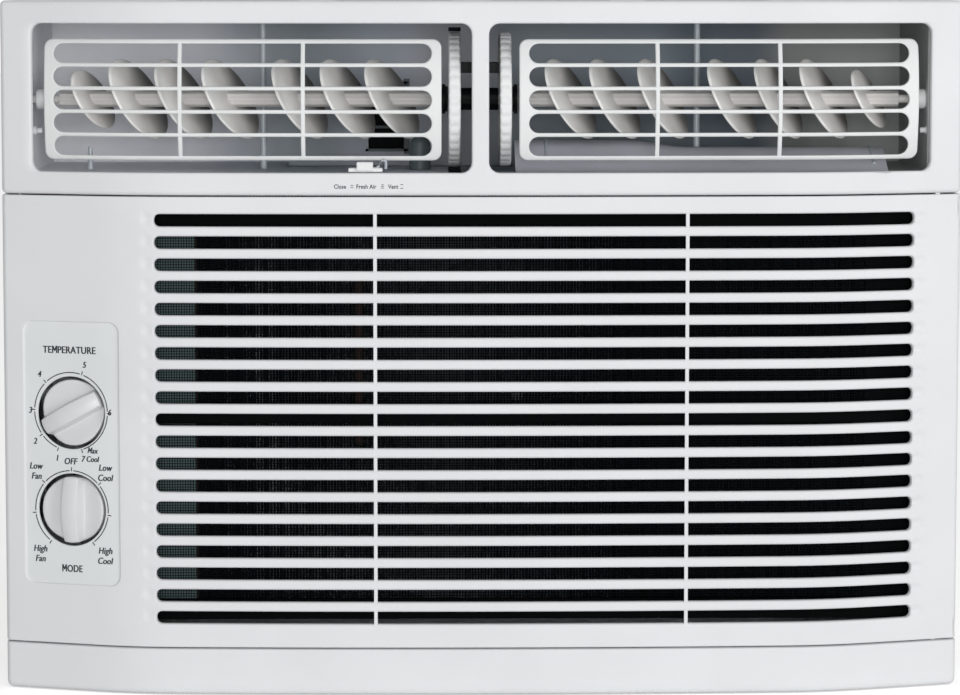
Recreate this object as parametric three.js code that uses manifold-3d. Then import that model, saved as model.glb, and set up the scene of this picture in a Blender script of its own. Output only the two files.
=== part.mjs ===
// Window air conditioner of the compact mechanical-control kind, as an assembly of separate pieces.
// Millimetres, +Z up. The origin is the middle of the footprint, on the surface that it stands on.
// The front faces -Y: the intake grille below, two discharge openings with swirl vanes above,
// and two rotary knobs on the sloping left wing.
import * as THREE from "three";
import { mergeVertices } from "three/addons/utils/BufferGeometryUtils.js";
import Module from "manifold-3d";

const wasm = await Module();
wasm.setup();

// ---- Driving dimensions -------------------------------------------------------------------------
const WIDTH = 470;
const HEIGHT = 340;
const DEPTH = 492;
const HALF_W = WIDTH / 2;
const FRONT_Y = -DEPTH / 2;
const BACK_Y = DEPTH / 2;
const WALL = 3; // plastic front mouldings
const SHEET = 1.2; // painted steel
const GAP = 0.3; // clearance between pieces that touch

// Plan curve of the front: a shallow bow, a blend, then a flat wing at each side.
const BOW_HALF = 150;
const WING_START = 190;
const WING_ANGLE = THREE.MathUtils.degToRad(18.5);
const BOW_SHAPE = 6000; // the bow is x * x / BOW_SHAPE deep

// Heights of the three front mouldings.
const TRIM_TOP = 23.1;
const PANEL_TOP = 245.2;
const MOULDING_BACK = -166;

// Intake grille.
const SLOT_ROWS = 19;
const SLOT_PITCH = 10.85;
const SLOT_HEIGHT = 6;
const SLOT_BOTTOM_Z = 38.15;
const SLOT_LEFT = -158;
const SLOT_RIGHT = 212.4;
const SLOT_RIBS = [-51.3, 101];
const SLOT_RIB_WIDTH = 1.7;

// Discharge openings and what swings in them.
const OPENING = { inner: 4.2, outer: 220, bottom: 256.6, top: 328.9, radius: 5 };
const PIVOT = { y: FRONT_Y + 36, z: 291.5 };
const LOUVER = { inner: 18.9, outer: 213.3, bottom: 262.3, top: 321.3, rim: 2.2, bar: 1.9, slots: 5 };
const LOUVER_RIBS = [86.2, 146.1];
const LOUVER_RIB_WIDTH = 2.2;
const LOUVER_END = 4.8;
const LOUVER_THICK = 2.5;
const LOUVER_RECESS = 1;
const LOUVER_SAG = 7;
const LOUVER_BOSS_R = 4.65;
const VANE_R = 18.5;
const VANE_SMALL_R = 14;
const VANE_THICK = 1.6;
const VANE_LEAN = { perY: 0.51, perZ: -0.46 };
const VANE_X = [44.2, 66, 89.6, 123.9, 146.9, 169.2, 191.5];
const SHAFT_R = 3.85;
const JOURNAL_R = 2;
const WHEEL = { r: 32.75, inner: 9.5, outer: 15.4, teeth: 24, tooth: 1.2 };

// Controls on the left wing.
const KNOB_X = -201.5;
const KNOB_Z = { temp: 138, mode: 90 };
const KNOB_R = 15.65;
const KNOB_HOLE_R = 17.2;
// Radius and depth along the profile of a knob's cap.
const KNOB_CAP = [[0, 7], [12, 7], [KNOB_R, 6], [KNOB_R, 0], [14.6, -2.4], [11, -4], [0, -4.8]];
const KNOB_BAR = { width: 8.6, length: 27, height: 10 };
const TEMP_REST = THREE.MathUtils.degToRad(62); // the temperature bar rests between its 5 and 6
const INSET = { left: -224.6, right: -177.3, bottom: 52.7, top: 181.8, radius: 5, depth: 1.3 };

// Vent lever and door.
const LEVER_X = -55.9;
const LEVER_TRAVEL = 12.5;
const VENT = { left: -78, right: -38, bottom: 262, top: 296, openDeg: 15 };

// Inside.
const DUCT = { halfW: 222.5, bottom: 254, top: 333, back: -104, wall: 2, behindFront: 4.4 };
const FAN_AXIS = { x: 20, z: 140 };
const BLOWER = { r: 84, front: -160, back: -112, blades: 20 };
const SCROLL = { front: -168, back: -104, top: 253.5, start: 92, end: 122, wall: 2.5 };
const FILTER = { left: -168, right: 228, bottom: 32.5, top: 239, front: -213, thick: 3 };
const FILTER_TRAVEL_NOTCH = { front: -215, back: -204.5, bottom: 28, top: 243.5 };
const EVAPORATOR = { left: -140, right: 196, bottom: 33, top: 243, front: -203, back: -177 };
const CONDENSER = { left: -206, right: 206, bottom: 8, top: 328, front: 206, back: 234 };
const BULKHEAD_Y = -59;
const CABINET = { halfW: 230.2, top: 337.2, front: -180 };
const CONTROL_BOX = { left: -227, right: -163, front: -194, back: -124, bottom: 55, top: 178 };
const FAN_Y = 132;
const FAN_R = 128;
const MOTOR = { front: -50, back: 28, r: 52 };
const SHROUD = { halfW: 216, bottom: 8, top: 326, throatY: FAN_Y + 16, ringR: FAN_R + 9, ringWall: 2 };
const COMPRESSOR = { x: 150, y: 32, r: 54, bottom: 12, top: 196 };
const COMPRESSOR_FEET = { r: 9, reach: 66, turns: [90, 210, 330].map(THREE.MathUtils.degToRad) };
const ACCUMULATOR = { x: 186, y: -38, r: 17, bottom: 50, top: 170 };
const BASE_PAN = { halfW: 228.5, front: -176, back: 243, height: 22, wall: 1.5 };
const DRAIN = { x: -120, y: 225, r: 8 };
const GROMMET = { y: -130, z: 45, r: 9 };
const REAR_OPENING = { halfW: 214, front: 200, top: 322 };
const SIDE_VENTS = { columns: 2, rows: 9, y: 20, z: 120,
  length: 70, height: 6, columnPitch: 86, rowPitch: 20 };
const TOP_VENTS = { columns: 4, rows: 4, x: -172, y: 70,
  length: 74, height: 6, columnPitch: 90, rowPitch: 20 };

// ---- Shapes -------------------------------------------------------------------------------------
const X_AXIS = new THREE.Vector3(1, 0, 0);

function asSolid(geometry) {
  const bare = geometry.index ? geometry.toNonIndexed() : geometry.clone();
  bare.deleteAttribute("normal");
  bare.deleteAttribute("uv");
  const merged = mergeVertices(bare, 1e-4);
  return new wasm.Manifold(new wasm.Mesh({
    numProp: 3,
    vertProperties: merged.attributes.position.array,
    triVerts: new Uint32Array(merged.index.array),
  }));
}

function asGeometry(solid) {
  const result = solid.getMesh();
  const geometry = new THREE.BufferGeometry();
  geometry.setAttribute("position", new THREE.BufferAttribute(result.vertProperties, 3));
  geometry.setIndex(new THREE.BufferAttribute(result.triVerts, 1));
  geometry.computeVertexNormals();
  return geometry;
}

function join(first, ...others) {
  return others.reduce((sum, solid) => sum.add(solid), first);
}

function cut(first, ...others) {
  return others.reduce((rest, solid) => rest.subtract(solid), first);
}

function block(x0, x1, y0, y1, z0, z1) {
  const geometry = new THREE.BoxGeometry(x1 - x0, y1 - y0, z1 - z0);
  geometry.translate((x0 + x1) / 2, (y0 + y1) / 2, (z0 + z1) / 2);
  return asSolid(geometry);
}

// A cylinder along X, Y or Z from low to high, at the two other coordinates in their order.
function rod(axis, radius, low, high, first, second, sides = 16) {
  const geometry = new THREE.CylinderGeometry(radius, radius, high - low, sides);
  const middle = (low + high) / 2;
  if (axis === "x") geometry.rotateZ(-Math.PI / 2).translate(middle, first, second);
  if (axis === "y") geometry.translate(first, middle, second);
  if (axis === "z") geometry.rotateX(Math.PI / 2).translate(first, second, middle);
  return asSolid(geometry);
}

function outline(points) {
  return new THREE.Shape(points.map(([a, b]) => new THREE.Vector2(a, b)));
}

function extrude(shape, length, curveSegments = 4) {
  return new THREE.ExtrudeGeometry(shape, { depth: length, bevelEnabled: false, curveSegments });
}

// A plan outline (x, y) raised from z0 to z1.
function raise(points, z0, z1) {
  return asSolid(extrude(outline(points), z1 - z0).translate(0, 0, z0));
}

// An elevation shape (x, z) given depth from y0 back to y1.
function deepen(shape, y0, y1, curveSegments = 4) {
  return asSolid(extrude(shape, y1 - y0, curveSegments).rotateX(Math.PI / 2).translate(0, y1, 0));
}

// A section (y, z) run along X from x0 to x1.
function run(points, x0, x1) {
  const turn = new THREE.Matrix4().set(0, 0, 1, x0, 1, 0, 0, 0, 0, 1, 0, 0, 0, 0, 0, 1);
  return asSolid(extrude(outline(points), x1 - x0).applyMatrix4(turn));
}

function roundedRect(x0, x1, z0, z1, r) {
  const shape = new THREE.Shape();
  shape.moveTo(x0 + r, z0).lineTo(x1 - r, z0);
  shape.absarc(x1 - r, z0 + r, r, -Math.PI / 2, 0);
  shape.lineTo(x1, z1 - r);
  shape.absarc(x1 - r, z1 - r, r, 0, Math.PI / 2);
  shape.lineTo(x0 + r, z1);
  shape.absarc(x0 + r, z1 - r, r, Math.PI / 2, Math.PI);
  shape.lineTo(x0, z0 + r);
  shape.absarc(x0 + r, z0 + r, r, Math.PI, Math.PI * 1.5);
  return shape;
}

// A round tube through hand-placed points.
function tube(points, radius, steps, sides = 8) {
  const places = points.map((p) => new THREE.Vector3(...p));
  const path = new THREE.CatmullRomCurve3(places, false, "catmullrom", 0.4);
  const section = [];
  for (let i = 0; i < sides; i += 1) {
    const turn = (2 * Math.PI * i) / sides;
    section.push([radius * Math.cos(turn), radius * Math.sin(turn)]);
  }
  const settings = { steps, bevelEnabled: false, extrudePath: path };
  return asSolid(new THREE.ExtrudeGeometry(outline(section), settings));
}

// How far the front face lies behind the front centre at this x.
function frontDepth(x) {
  const side = Math.abs(x);
  if (side <= BOW_HALF) return (side * side) / BOW_SHAPE;
  const bowSlope = Math.atan((2 * BOW_HALF) / BOW_SHAPE);
  const radius = (WING_START - BOW_HALF) / (Math.sin(WING_ANGLE) - Math.sin(bowSlope));
  const bowDepth = (BOW_HALF * BOW_HALF) / BOW_SHAPE;
  const slopeAt = (s) => Math.asin(Math.sin(bowSlope) + (s - BOW_HALF) / radius);
  const blend = (s) => bowDepth + radius * (Math.cos(bowSlope) - Math.cos(slopeAt(s)));
  if (side <= WING_START) return blend(side);
  return blend(WING_START) + (side - WING_START) * Math.tan(WING_ANGLE);
}

// The plan outline of the front mouldings, moved inwards by inset, closed along y = back.
function planOutline(inset, back) {
  const stations = [0, 85, BOW_HALF, 170, WING_START, HALF_W - 2.5 - inset];
  const slopeFactor = (x) => 1 / Math.cos(x > BOW_HALF ? WING_ANGLE : 0);
  const rightSide = stations.map((x) => [x, FRONT_Y + frontDepth(x) + inset * slopeFactor(x)]);
  const [lastX, lastY] = rightSide[rightSide.length - 1];
  rightSide.push([lastX + 1.8, lastY + 1.4], [HALF_W - inset, lastY + 3.6], [HALF_W - inset, back]);
  const leftSide = rightSide.slice(1).reverse().map(([x, y]) => [-x, y]);
  return [...leftSide, ...rightSide];
}

// A place on the left wing, whose local -Y points straight out of the surface.
function wingPlace(x, z) {
  const place = new THREE.Matrix4().makeRotationZ(-WING_ANGLE);
  return place.setPosition(x, FRONT_Y + frontDepth(x), z);
}

function placed(geometry, matrix) {
  return asSolid(geometry.applyMatrix4(matrix));
}

// ---- Scene --------------------------------------------------------------------------------------
const unit = new THREE.Group();
const colours = {
  white: [0xe4e5e7, 0.45, 0],
  knob: [0xdcdce0, 0.4, 0],
  plate: [0xdde1e1, 0.5, 0],
  vane: [0xd4d4d2, 0.45, 0],
  black: [0x17181a, 0.5, 0],
  grey: [0x8b9398, 0.7, 0],
  steel: [0xd6d8d6, 0.4, 0.3],
  galvanised: [0xa8acae, 0.45, 0.8],
  copper: [0xb06a45, 0.35, 0.9],
  fins: [0xb8bdc2, 0.4, 0.9],
  mesh: [0x59615f, 0.8, 0],
  rubber: [0x222222, 0.85, 0],
};

function add(name, solid, colour) {
  const [color, roughness, metalness] = colours[colour];
  const material = new THREE.MeshStandardMaterial({ color, roughness, metalness });
  const mesh = new THREE.Mesh(asGeometry(solid), material);
  mesh.name = name;
  unit.add(mesh);
}

// ---- Front mouldings ----------------------------------------------------------------------------
function moulding(z0, z1) {
  return raise(planOutline(0, MOULDING_BACK), z0, z1);
}

function hollow(z0, z1) {
  return raise(planOutline(WALL, MOULDING_BACK + 1), z0, z1);
}

function openingCutter(side) {
  const edges = [side * OPENING.inner, side * OPENING.outer].sort((a, b) => a - b);
  const shape = roundedRect(edges[0], edges[1], OPENING.bottom, OPENING.top, OPENING.radius);
  return deepen(shape, FRONT_Y - 5, FRONT_Y + 32, 3);
}

function frontFrame() {
  const shell = cut(moulding(PANEL_TOP + GAP, HEIGHT), hollow(PANEL_TOP - 1, HEIGHT - WALL + 0.5));
  return cut(shell, openingCutter(-1), openingCutter(1));
}

function intakeSlots() {
  const ribEdges = SLOT_RIBS.flatMap((x) => [x - SLOT_RIB_WIDTH / 2, x + SLOT_RIB_WIDTH / 2]);
  const edges = [SLOT_LEFT, ...ribEdges, SLOT_RIGHT];
  const slots = [];
  for (let row = 0; row < SLOT_ROWS; row += 1) {
    const low = SLOT_BOTTOM_Z + row * SLOT_PITCH - SLOT_HEIGHT / 2;
    for (let i = 0; i < edges.length; i += 2) {
      slots.push(block(edges[i], edges[i + 1], FRONT_Y - 5, FRONT_Y + 26, low, low + SLOT_HEIGHT));
    }
  }
  return slots;
}

function knobHole(z) {
  const cylinder = new THREE.CylinderGeometry(KNOB_HOLE_R, KNOB_HOLE_R, 30, 24);
  return placed(cylinder, wingPlace(KNOB_X, z));
}

// The overlay's outline on the wing, from its edges as seen from the front.
function insetPlate(grow, outward, inward) {
  const middle = (INSET.left + INSET.right) / 2;
  const half = (INSET.right - INSET.left) / 2 / Math.cos(WING_ANGLE) + grow;
  const middleZ = (INSET.top + INSET.bottom) / 2;
  const halfZ = (INSET.top - INSET.bottom) / 2 + grow;
  const plate = extrude(roundedRect(-half, half, -halfZ, halfZ, INSET.radius + grow), inward - outward, 3);
  plate.rotateX(Math.PI / 2).translate(0, inward, 0);
  return placed(plate, wingPlace(middle, middleZ));
}

function intakePanel() {
  const shell = cut(moulding(TRIM_TOP + GAP, PANEL_TOP - GAP), hollow(0, HEIGHT));
  const filterSlot = block(
    HALF_W - 10, HALF_W + 5, FILTER_TRAVEL_NOTCH.front, FILTER_TRAVEL_NOTCH.back,
    FILTER_TRAVEL_NOTCH.bottom, FILTER_TRAVEL_NOTCH.top - 3,
  );
  const recess = insetPlate(GAP, -5, INSET.depth);
  return cut(shell, ...intakeSlots(), knobHole(KNOB_Z.temp), knobHole(KNOB_Z.mode), recess, filterSlot);
}

function bottomTrim() {
  const shell = cut(moulding(0, TRIM_TOP - GAP), hollow(WALL, TRIM_TOP + 5));
  const overCabinet = block(
    -HALF_W + WALL, HALF_W - WALL, CABINET.front - 1, MOULDING_BACK + 5, -5, WALL + 1,
  );
  return cut(shell, overCabinet);
}

add("front_frame", frontFrame(), "white");
add("intake_panel", intakePanel(), "white");
add("bottom_trim", bottomTrim(), "white");

function controlPlate() {
  const film = insetPlate(0, 0.1, INSET.depth - GAP);
  return cut(film, knobHole(KNOB_Z.temp), knobHole(KNOB_Z.mode));
}
add("control_plate", controlPlate(), "plate");

// ---- Knobs, their shafts and what they switch ---------------------------------------------------
function knob(z, barTurn) {
  const cap = new THREE.LatheGeometry(KNOB_CAP.map(([r, y]) => new THREE.Vector2(r, y)).reverse(), 24);
  const bar = new THREE.BoxGeometry(KNOB_BAR.width, KNOB_BAR.height, KNOB_BAR.length);
  bar.translate(0, -6, 0).rotateY(barTurn);
  const place = wingPlace(KNOB_X, z);
  return join(placed(cap, place), placed(bar, place));
}

function controlShaft(z) {
  const shaft = new THREE.CylinderGeometry(3, 3, 31, 12).translate(0, 23, 0);
  return placed(shaft, wingPlace(KNOB_X, z));
}

function switchBody(z, width, height, collarR) {
  const body = new THREE.BoxGeometry(width, 25, height).translate(0, 51.5, 0);
  const collar = new THREE.CylinderGeometry(collarR, collarR, 4, 16).translate(0, 40.5, 0);
  const place = wingPlace(KNOB_X, z);
  const bore = new THREE.CylinderGeometry(3.4, 3.4, 6, 12).translate(0, 38, 0);
  return cut(join(placed(body, place), placed(collar, place)), placed(bore, place));
}

add("temp_knob", knob(KNOB_Z.temp, TEMP_REST), "knob");
add("mode_knob", knob(KNOB_Z.mode, 0), "knob");
add("thermostat_shaft", controlShaft(KNOB_Z.temp), "galvanised");
add("selector_shaft", controlShaft(KNOB_Z.mode), "galvanised");
add("thermostat", switchBody(KNOB_Z.temp, 28, 34, 8), "galvanised");
add("selector_switch", switchBody(KNOB_Z.mode, 32, 32, 8), "black");

function controlBox() {
  const { left, right, front, back, bottom, top } = CONTROL_BOX;
  const outer = block(left, right, front, back, bottom, top);
  const inner = block(left + SHEET, right - SHEET, front - 6, back - SHEET, bottom + SHEET, top - SHEET);
  return cut(outer, inner);
}
add("control_box", controlBox(), "galvanised");
add("run_capacitor", rod("z", 16, 70, 132, -206, -144, 20), "fins");

// ---- Discharge duct, louvers, vanes and thumbwheels ---------------------------------------------
function dischargeDuct() {
  const { halfW, bottom, top, back, wall, behindFront } = DUCT;
  const stations = [0, 85, BOW_HALF, 170, WING_START, halfW];
  const front = stations.map((x) => [x, FRONT_Y + frontDepth(x) + behindFront]);
  const mirrored = front.slice(1).reverse().map(([x, y]) => [-x, y]);
  const outer = raise([...mirrored, ...front, [halfW, back], [-halfW, back]], bottom, top);
  const inner = block(wall - halfW, halfW - wall, FRONT_Y - 5, back - wall, bottom + wall, top - wall);
  const fromBlower = block(
    FAN_AXIS.x - SCROLL.end + 4, FAN_AXIS.x + 76, SCROLL.front + 3, back - 4, bottom - 5, bottom + wall + 1,
  );
  const ventHole = block(VENT.left, VENT.right, back - wall - 1, back + 1, VENT.bottom, VENT.top);
  const slide = LEVER_TRAVEL + 1.8;
  const leverSlot = block(
    LEVER_X - slide, LEVER_X + slide, FRONT_Y + 6, FRONT_Y + 10.6, bottom - 1, bottom + wall + 1,
  );
  const journalHole = rod("x", JOURNAL_R + 0.6, -halfW - 2, halfW + 2, PIVOT.y, PIVOT.z, 12);
  return cut(outer, inner, fromBlower, ventHole, leverSlot, journalHole);
}
add("discharge_duct", dischargeDuct(), "grey");

// A bowed plate pierced by cells: xs and zs are the cell edges, and isSolid says which cells are there.
function piercedPlate(xs, zs, faceY, thickness, isSolid) {
  const positions = [];
  const front = (i, j) => [xs[i], faceY(xs[i], zs[j]), zs[j]];
  const back = (i, j) => [xs[i], faceY(xs[i], zs[j]) + thickness, zs[j]];
  const quad = (a, b, c, d) => [a, b, c, a, c, d].forEach((p) => positions.push(...p));
  const wall = (i0, j0, i1, j1) => quad(back(i0, j0), front(i0, j0), front(i1, j1), back(i1, j1));
  const inRange = (i, j) => i >= 0 && j >= 0 && i < xs.length - 1 && j < zs.length - 1;
  const filled = (i, j) => inRange(i, j) && isSolid(i, j);
  for (let i = 0; i < xs.length - 1; i += 1) {
    for (let j = 0; j < zs.length - 1; j += 1) {
      if (!filled(i, j)) continue;
      quad(front(i, j), front(i + 1, j), front(i + 1, j + 1), front(i, j + 1));
      quad(back(i, j), back(i, j + 1), back(i + 1, j + 1), back(i + 1, j));
      if (!filled(i - 1, j)) wall(i, j, i, j + 1);
      if (!filled(i + 1, j)) wall(i + 1, j + 1, i + 1, j);
      if (!filled(i, j - 1)) wall(i + 1, j, i, j);
      if (!filled(i, j + 1)) wall(i, j + 1, i + 1, j + 1);
    }
  }
  const geometry = new THREE.BufferGeometry();
  geometry.setAttribute("position", new THREE.Float32BufferAttribute(positions, 3));
  return asSolid(geometry);
}

function louverFaceY(x, z) {
  const middle = (LOUVER.bottom + LOUVER.top) / 2;
  const rise = (z - middle) / (LOUVER.top - middle);
  return FRONT_Y + frontDepth(x) + LOUVER_RECESS + LOUVER_SAG * rise * rise;
}

function louverPlate(side) {
  const slotLow = LOUVER.inner + LOUVER_END;
  const slotHigh = LOUVER.outer - LOUVER_END;
  const ribEdges = LOUVER_RIBS.flatMap((x) => [x - LOUVER_RIB_WIDTH / 2, x + LOUVER_RIB_WIDTH / 2]);
  const distances = [LOUVER.inner, slotLow, ...ribEdges, 170, WING_START, slotHigh, LOUVER.outer];
  const ribStarts = LOUVER_RIBS.map((x) => x - LOUVER_RIB_WIDTH / 2);
  const solidColumns = new Set([LOUVER.inner, ...ribStarts, slotHigh]);
  distances.sort((a, b) => a - b);
  const columnIsSolid = distances.slice(0, -1).map((d) => solidColumns.has(d));
  const xs = side > 0 ? distances : distances.map((d) => -d).reverse();
  const columns = side > 0 ? columnIsSolid : [...columnIsSolid].reverse();
  const bars = 2 * LOUVER.rim + (LOUVER.slots - 1) * LOUVER.bar;
  const slot = (LOUVER.top - LOUVER.bottom - bars) / LOUVER.slots;
  const zs = [LOUVER.bottom, LOUVER.bottom + LOUVER.rim];
  for (let i = 0; i < LOUVER.slots; i += 1) {
    const low = zs[zs.length - 1];
    zs.push(low + slot, low + slot + (i < LOUVER.slots - 1 ? LOUVER.bar : LOUVER.rim));
  }
  return piercedPlate(xs, zs, louverFaceY, LOUVER_THICK, (i, j) => columns[i] || j % 2 === 0);
}

// An end arm of a louver, from its plate back to the pivot.
function louverArm(side, near, far) {
  const x = side * near;
  const plateY = louverFaceY(x, PIVOT.z) + LOUVER_THICK - 0.8;
  const backY = PIVOT.y + 5.6;
  const section = [
    [plateY, PIVOT.z - 13], [PIVOT.y, PIVOT.z - 5.6], [backY, PIVOT.z - 3],
    [backY, PIVOT.z + 3], [PIVOT.y, PIVOT.z + 5.6], [plateY, PIVOT.z + 13],
  ];
  return side > 0 ? run(section, near, far) : run(section, -far, -near);
}

function along(side, near, far) {
  return side > 0 ? [near, far] : [-far, -near];
}

function louver(side) {
  const innerArm = louverArm(side, LOUVER.inner + GAP, LOUVER.inner + 2.6);
  const outerArm = louverArm(side, LOUVER.outer - 3, LOUVER.outer - GAP);
  const boss = rod("x", LOUVER_BOSS_R, ...along(side, LOUVER.outer - 1, 218), PIVOT.y, PIVOT.z, 16);
  const innerBore = rod("x", SHAFT_R + 0.6, ...along(side, 0, 60), PIVOT.y, PIVOT.z, 12);
  const outerBore = rod("x", JOURNAL_R + 0.5, ...along(side, 200, 230), PIVOT.y, PIVOT.z, 12);
  return cut(join(louverPlate(side), innerArm, outerArm, boss), innerBore, outerBore);
}
add("louver_left", louver(-1), "white");
add("louver_right", louver(1), "white");

function leaningDisc(x, radius) {
  const disc = new THREE.CylinderGeometry(radius, radius, VANE_THICK, 12).rotateZ(-Math.PI / 2);
  const lean = new THREE.Matrix4();
  lean.elements[4] = VANE_LEAN.perY;
  lean.elements[8] = VANE_LEAN.perZ;
  disc.applyMatrix4(lean).translate(x, PIVOT.y, PIVOT.z);
  return asSolid(disc);
}

function vaneShaft(side) {
  const shaft = rod("x", SHAFT_R, ...along(side, 0.8, 207), PIVOT.y, PIVOT.z, 12);
  const journal = rod("x", JOURNAL_R, ...along(side, 205, 225), PIVOT.y, PIVOT.z, 10);
  const last = VANE_X.length - 1;
  const discs = VANE_X.map((x, i) => leaningDisc(side * x, i === last ? VANE_SMALL_R : VANE_R));
  return join(shaft, journal, ...discs);
}

function thumbwheel(side) {
  const points = [];
  for (let i = 0; i < 2 * WHEEL.teeth; i += 1) {
    const turn = (Math.PI * i) / WHEEL.teeth;
    const r = i % 2 ? WHEEL.r - WHEEL.tooth : WHEEL.r;
    points.push([PIVOT.y + r * Math.cos(turn), PIVOT.z + r * Math.sin(turn)]);
  }
  const [x0, x1] = along(side, WHEEL.inner, WHEEL.outer);
  const groove = cut(
    rod("x", WHEEL.r - 5, ...along(side, WHEEL.outer - 1.6, WHEEL.outer + 2), PIVOT.y, PIVOT.z, 24),
    rod("x", 10, ...along(side, 0, 30), PIVOT.y, PIVOT.z, 16),
  );
  return cut(run(points, x0, x1), groove, rod("x", SHAFT_R + 0.4, -60, 60, PIVOT.y, PIVOT.z, 12));
}

function frictionCollar(side) {
  const ring = rod("x", 7.3, ...along(side, WHEEL.outer + GAP, LOUVER.inner - GAP), PIVOT.y, PIVOT.z, 16);
  return cut(ring, rod("x", SHAFT_R + 0.4, -60, 60, PIVOT.y, PIVOT.z, 12));
}

for (const [side, hand] of [[-1, "left"], [1, "right"]]) {
  add("vane_shaft_" + hand, vaneShaft(side), "vane");
  add("thumbwheel_" + hand, thumbwheel(side), "white");
  add("friction_collar_" + hand, frictionCollar(side), "black");
}

function centreBearing() {
  const low = DUCT.bottom + DUCT.wall + GAP;
  const high = DUCT.top - DUCT.wall - GAP;
  const plate = block(-3, 3, FRONT_Y + 5, -182, low, high);
  const boss = rod("x", 5.5, -9.2, 9.2, PIVOT.y, PIVOT.z, 16);
  const bar = block(-9.2, 9.2, PIVOT.y - 8, PIVOT.y + 8, 304.4, 309.6);
  return cut(join(plate, boss, bar), rod("x", SHAFT_R + 0.6, -20, 20, PIVOT.y, PIVOT.z, 12));
}
add("centre_bearing", centreBearing(), "black");

// ---- Vent lever and door ------------------------------------------------------------------------
function ventLever() {
  const y = FRONT_Y;
  const base = block(LEVER_X - 8.3, LEVER_X + 8.3, y + 2, y + 10, 257, 259.1);
  const grip = block(LEVER_X - 4, LEVER_X + 4, y + 0.4, y + 5, 258, 261.7);
  const stem = block(LEVER_X - 1.2, LEVER_X + 1.2, y + 7, y + 9.6, 248.5, 258);
  const tail = block(LEVER_X - 1.2, LEVER_X + 1.2, y + 7, -206, 248.5, 251);
  return join(base, grip, stem, tail);
}
add("vent_lever", ventLever(), "white");

// The door hangs behind its hole on a hinge along its top edge, half open with the lever at mid travel.
function ventDoor() {
  const hinge = { y: DUCT.back + 1.2, z: VENT.top + 3 };
  const thick = 1.4;
  const door = new THREE.BoxGeometry(VENT.right - VENT.left + 6, thick, hinge.z - VENT.bottom + 2);
  door.translate((VENT.left + VENT.right) / 2, 0, -(hinge.z - VENT.bottom + 2) / 2);
  door.applyMatrix4(new THREE.Matrix4().makeRotationAxis(X_AXIS, THREE.MathUtils.degToRad(VENT.openDeg)));
  return asSolid(door.translate(0, hinge.y, hinge.z));
}
add("vent_door", ventDoor(), "grey");

// ---- Filter -------------------------------------------------------------------------------------
function filterFrame() {
  const { left, right, bottom, top, front, thick } = FILTER;
  const rail = 10;
  const middle = (bottom + top) / 2;
  const sheet = block(left, right, front, front + thick, bottom, top);
  const lower = block(left + 7, right - 9, front - 1, front + thick + 1, bottom + rail, middle - rail / 2);
  const upper = block(left + 7, right - 9, front - 1, front + thick + 1, middle + rail / 2, top - rail);
  const tab = block(right - 2, HALF_W - 0.8, front, front + thick, middle - 16, middle + 16);
  return join(cut(sheet, lower, upper), tab);
}
function filterMesh() {
  const { left, right, bottom, top, front, thick } = FILTER;
  return block(left + 2, right - 2, front + thick + GAP, front + thick + 1.1, bottom + 2, top - 2);
}
add("filter_frame", filterFrame(), "black");
add("filter_mesh", filterMesh(), "mesh");

// ---- Coils --------------------------------------------------------------------------------------
// An end plate of a coil with its return bends standing out of it.
function coilEnd(coil, side, bends, tubeR) {
  const edge = side > 0 ? coil.right : coil.left;
  const plateAt = edge + side * GAP;
  const [x0, x1] = [plateAt, plateAt + side * 1.5].sort((a, b) => a - b);
  const plate = block(x0, x1, coil.front, coil.back, coil.bottom, coil.top);
  const pitch = (coil.top - coil.bottom) / bends;
  const middleY = (coil.front + coil.back) / 2;
  const reach = side * 13;
  const pieces = [];
  for (let i = 0; i < bends; i += 1) {
    const z = coil.bottom + pitch * (i + 0.5);
    const half = pitch * 0.25;
    pieces.push(tube([
      [plateAt + side * 0.6, middleY - 5, z - half],
      [plateAt + reach * 0.55, middleY - 4.6, z - half],
      [plateAt + reach, middleY, z],
      [plateAt + reach * 0.55, middleY + 4.6, z + half],
      [plateAt + side * 0.6, middleY + 5, z + half],
    ], tubeR, 4, 5));
  }
  return join(plate, ...pieces);
}

for (const [name, coil, bends] of [["evaporator", EVAPORATOR, 6], ["condenser", CONDENSER, 7]]) {
  add(name + "_fins", block(coil.left, coil.right, coil.front, coil.back, coil.bottom, coil.top), "fins");
  add(name + "_end_left", coilEnd(coil, -1, bends, 3.5), "copper");
  add(name + "_end_right", coilEnd(coil, 1, bends, 3.5), "copper");
}

// ---- Air handling behind the evaporator ---------------------------------------------------------
// The scroll's wall in elevation: a growing spiral below the wheel and two straight sides up to the duct.
function scrollOutline(grow) {
  const { x, z } = FAN_AXIS;
  const points = [];
  const from = THREE.MathUtils.degToRad(30);
  const to = -Math.PI;
  const steps = 14;
  points.push([x + SCROLL.start * Math.cos(from) + grow, SCROLL.top]);
  for (let i = 0; i <= steps; i += 1) {
    const turn = from + ((to - from) * i) / steps;
    const r = SCROLL.start + ((SCROLL.end - SCROLL.start) * i) / steps + grow;
    points.push([x + r * Math.cos(turn), z + r * Math.sin(turn)]);
  }
  points.push([x - SCROLL.end - grow, SCROLL.top]);
  return outline(points);
}

function blowerScroll() {
  const { front, back, wall } = SCROLL;
  const body = deepen(scrollOutline(wall), front, back);
  const cavity = deepen(scrollOutline(0), front + wall, back - wall);
  const mouth = block(FAN_AXIS.x - SCROLL.end, 99, front + wall, back - wall, 240, SCROLL.top + 2);
  const inlet = rod("y", 74, front - 1, front + wall + 1, FAN_AXIS.x, FAN_AXIS.z, 28);
  const shaftHole = rod("y", 12, back - wall - 1, back + 1, FAN_AXIS.x, FAN_AXIS.z, 16);
  return cut(body, cavity, mouth, inlet, shaftHole);
}
add("blower_scroll", blowerScroll(), "grey");

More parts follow.
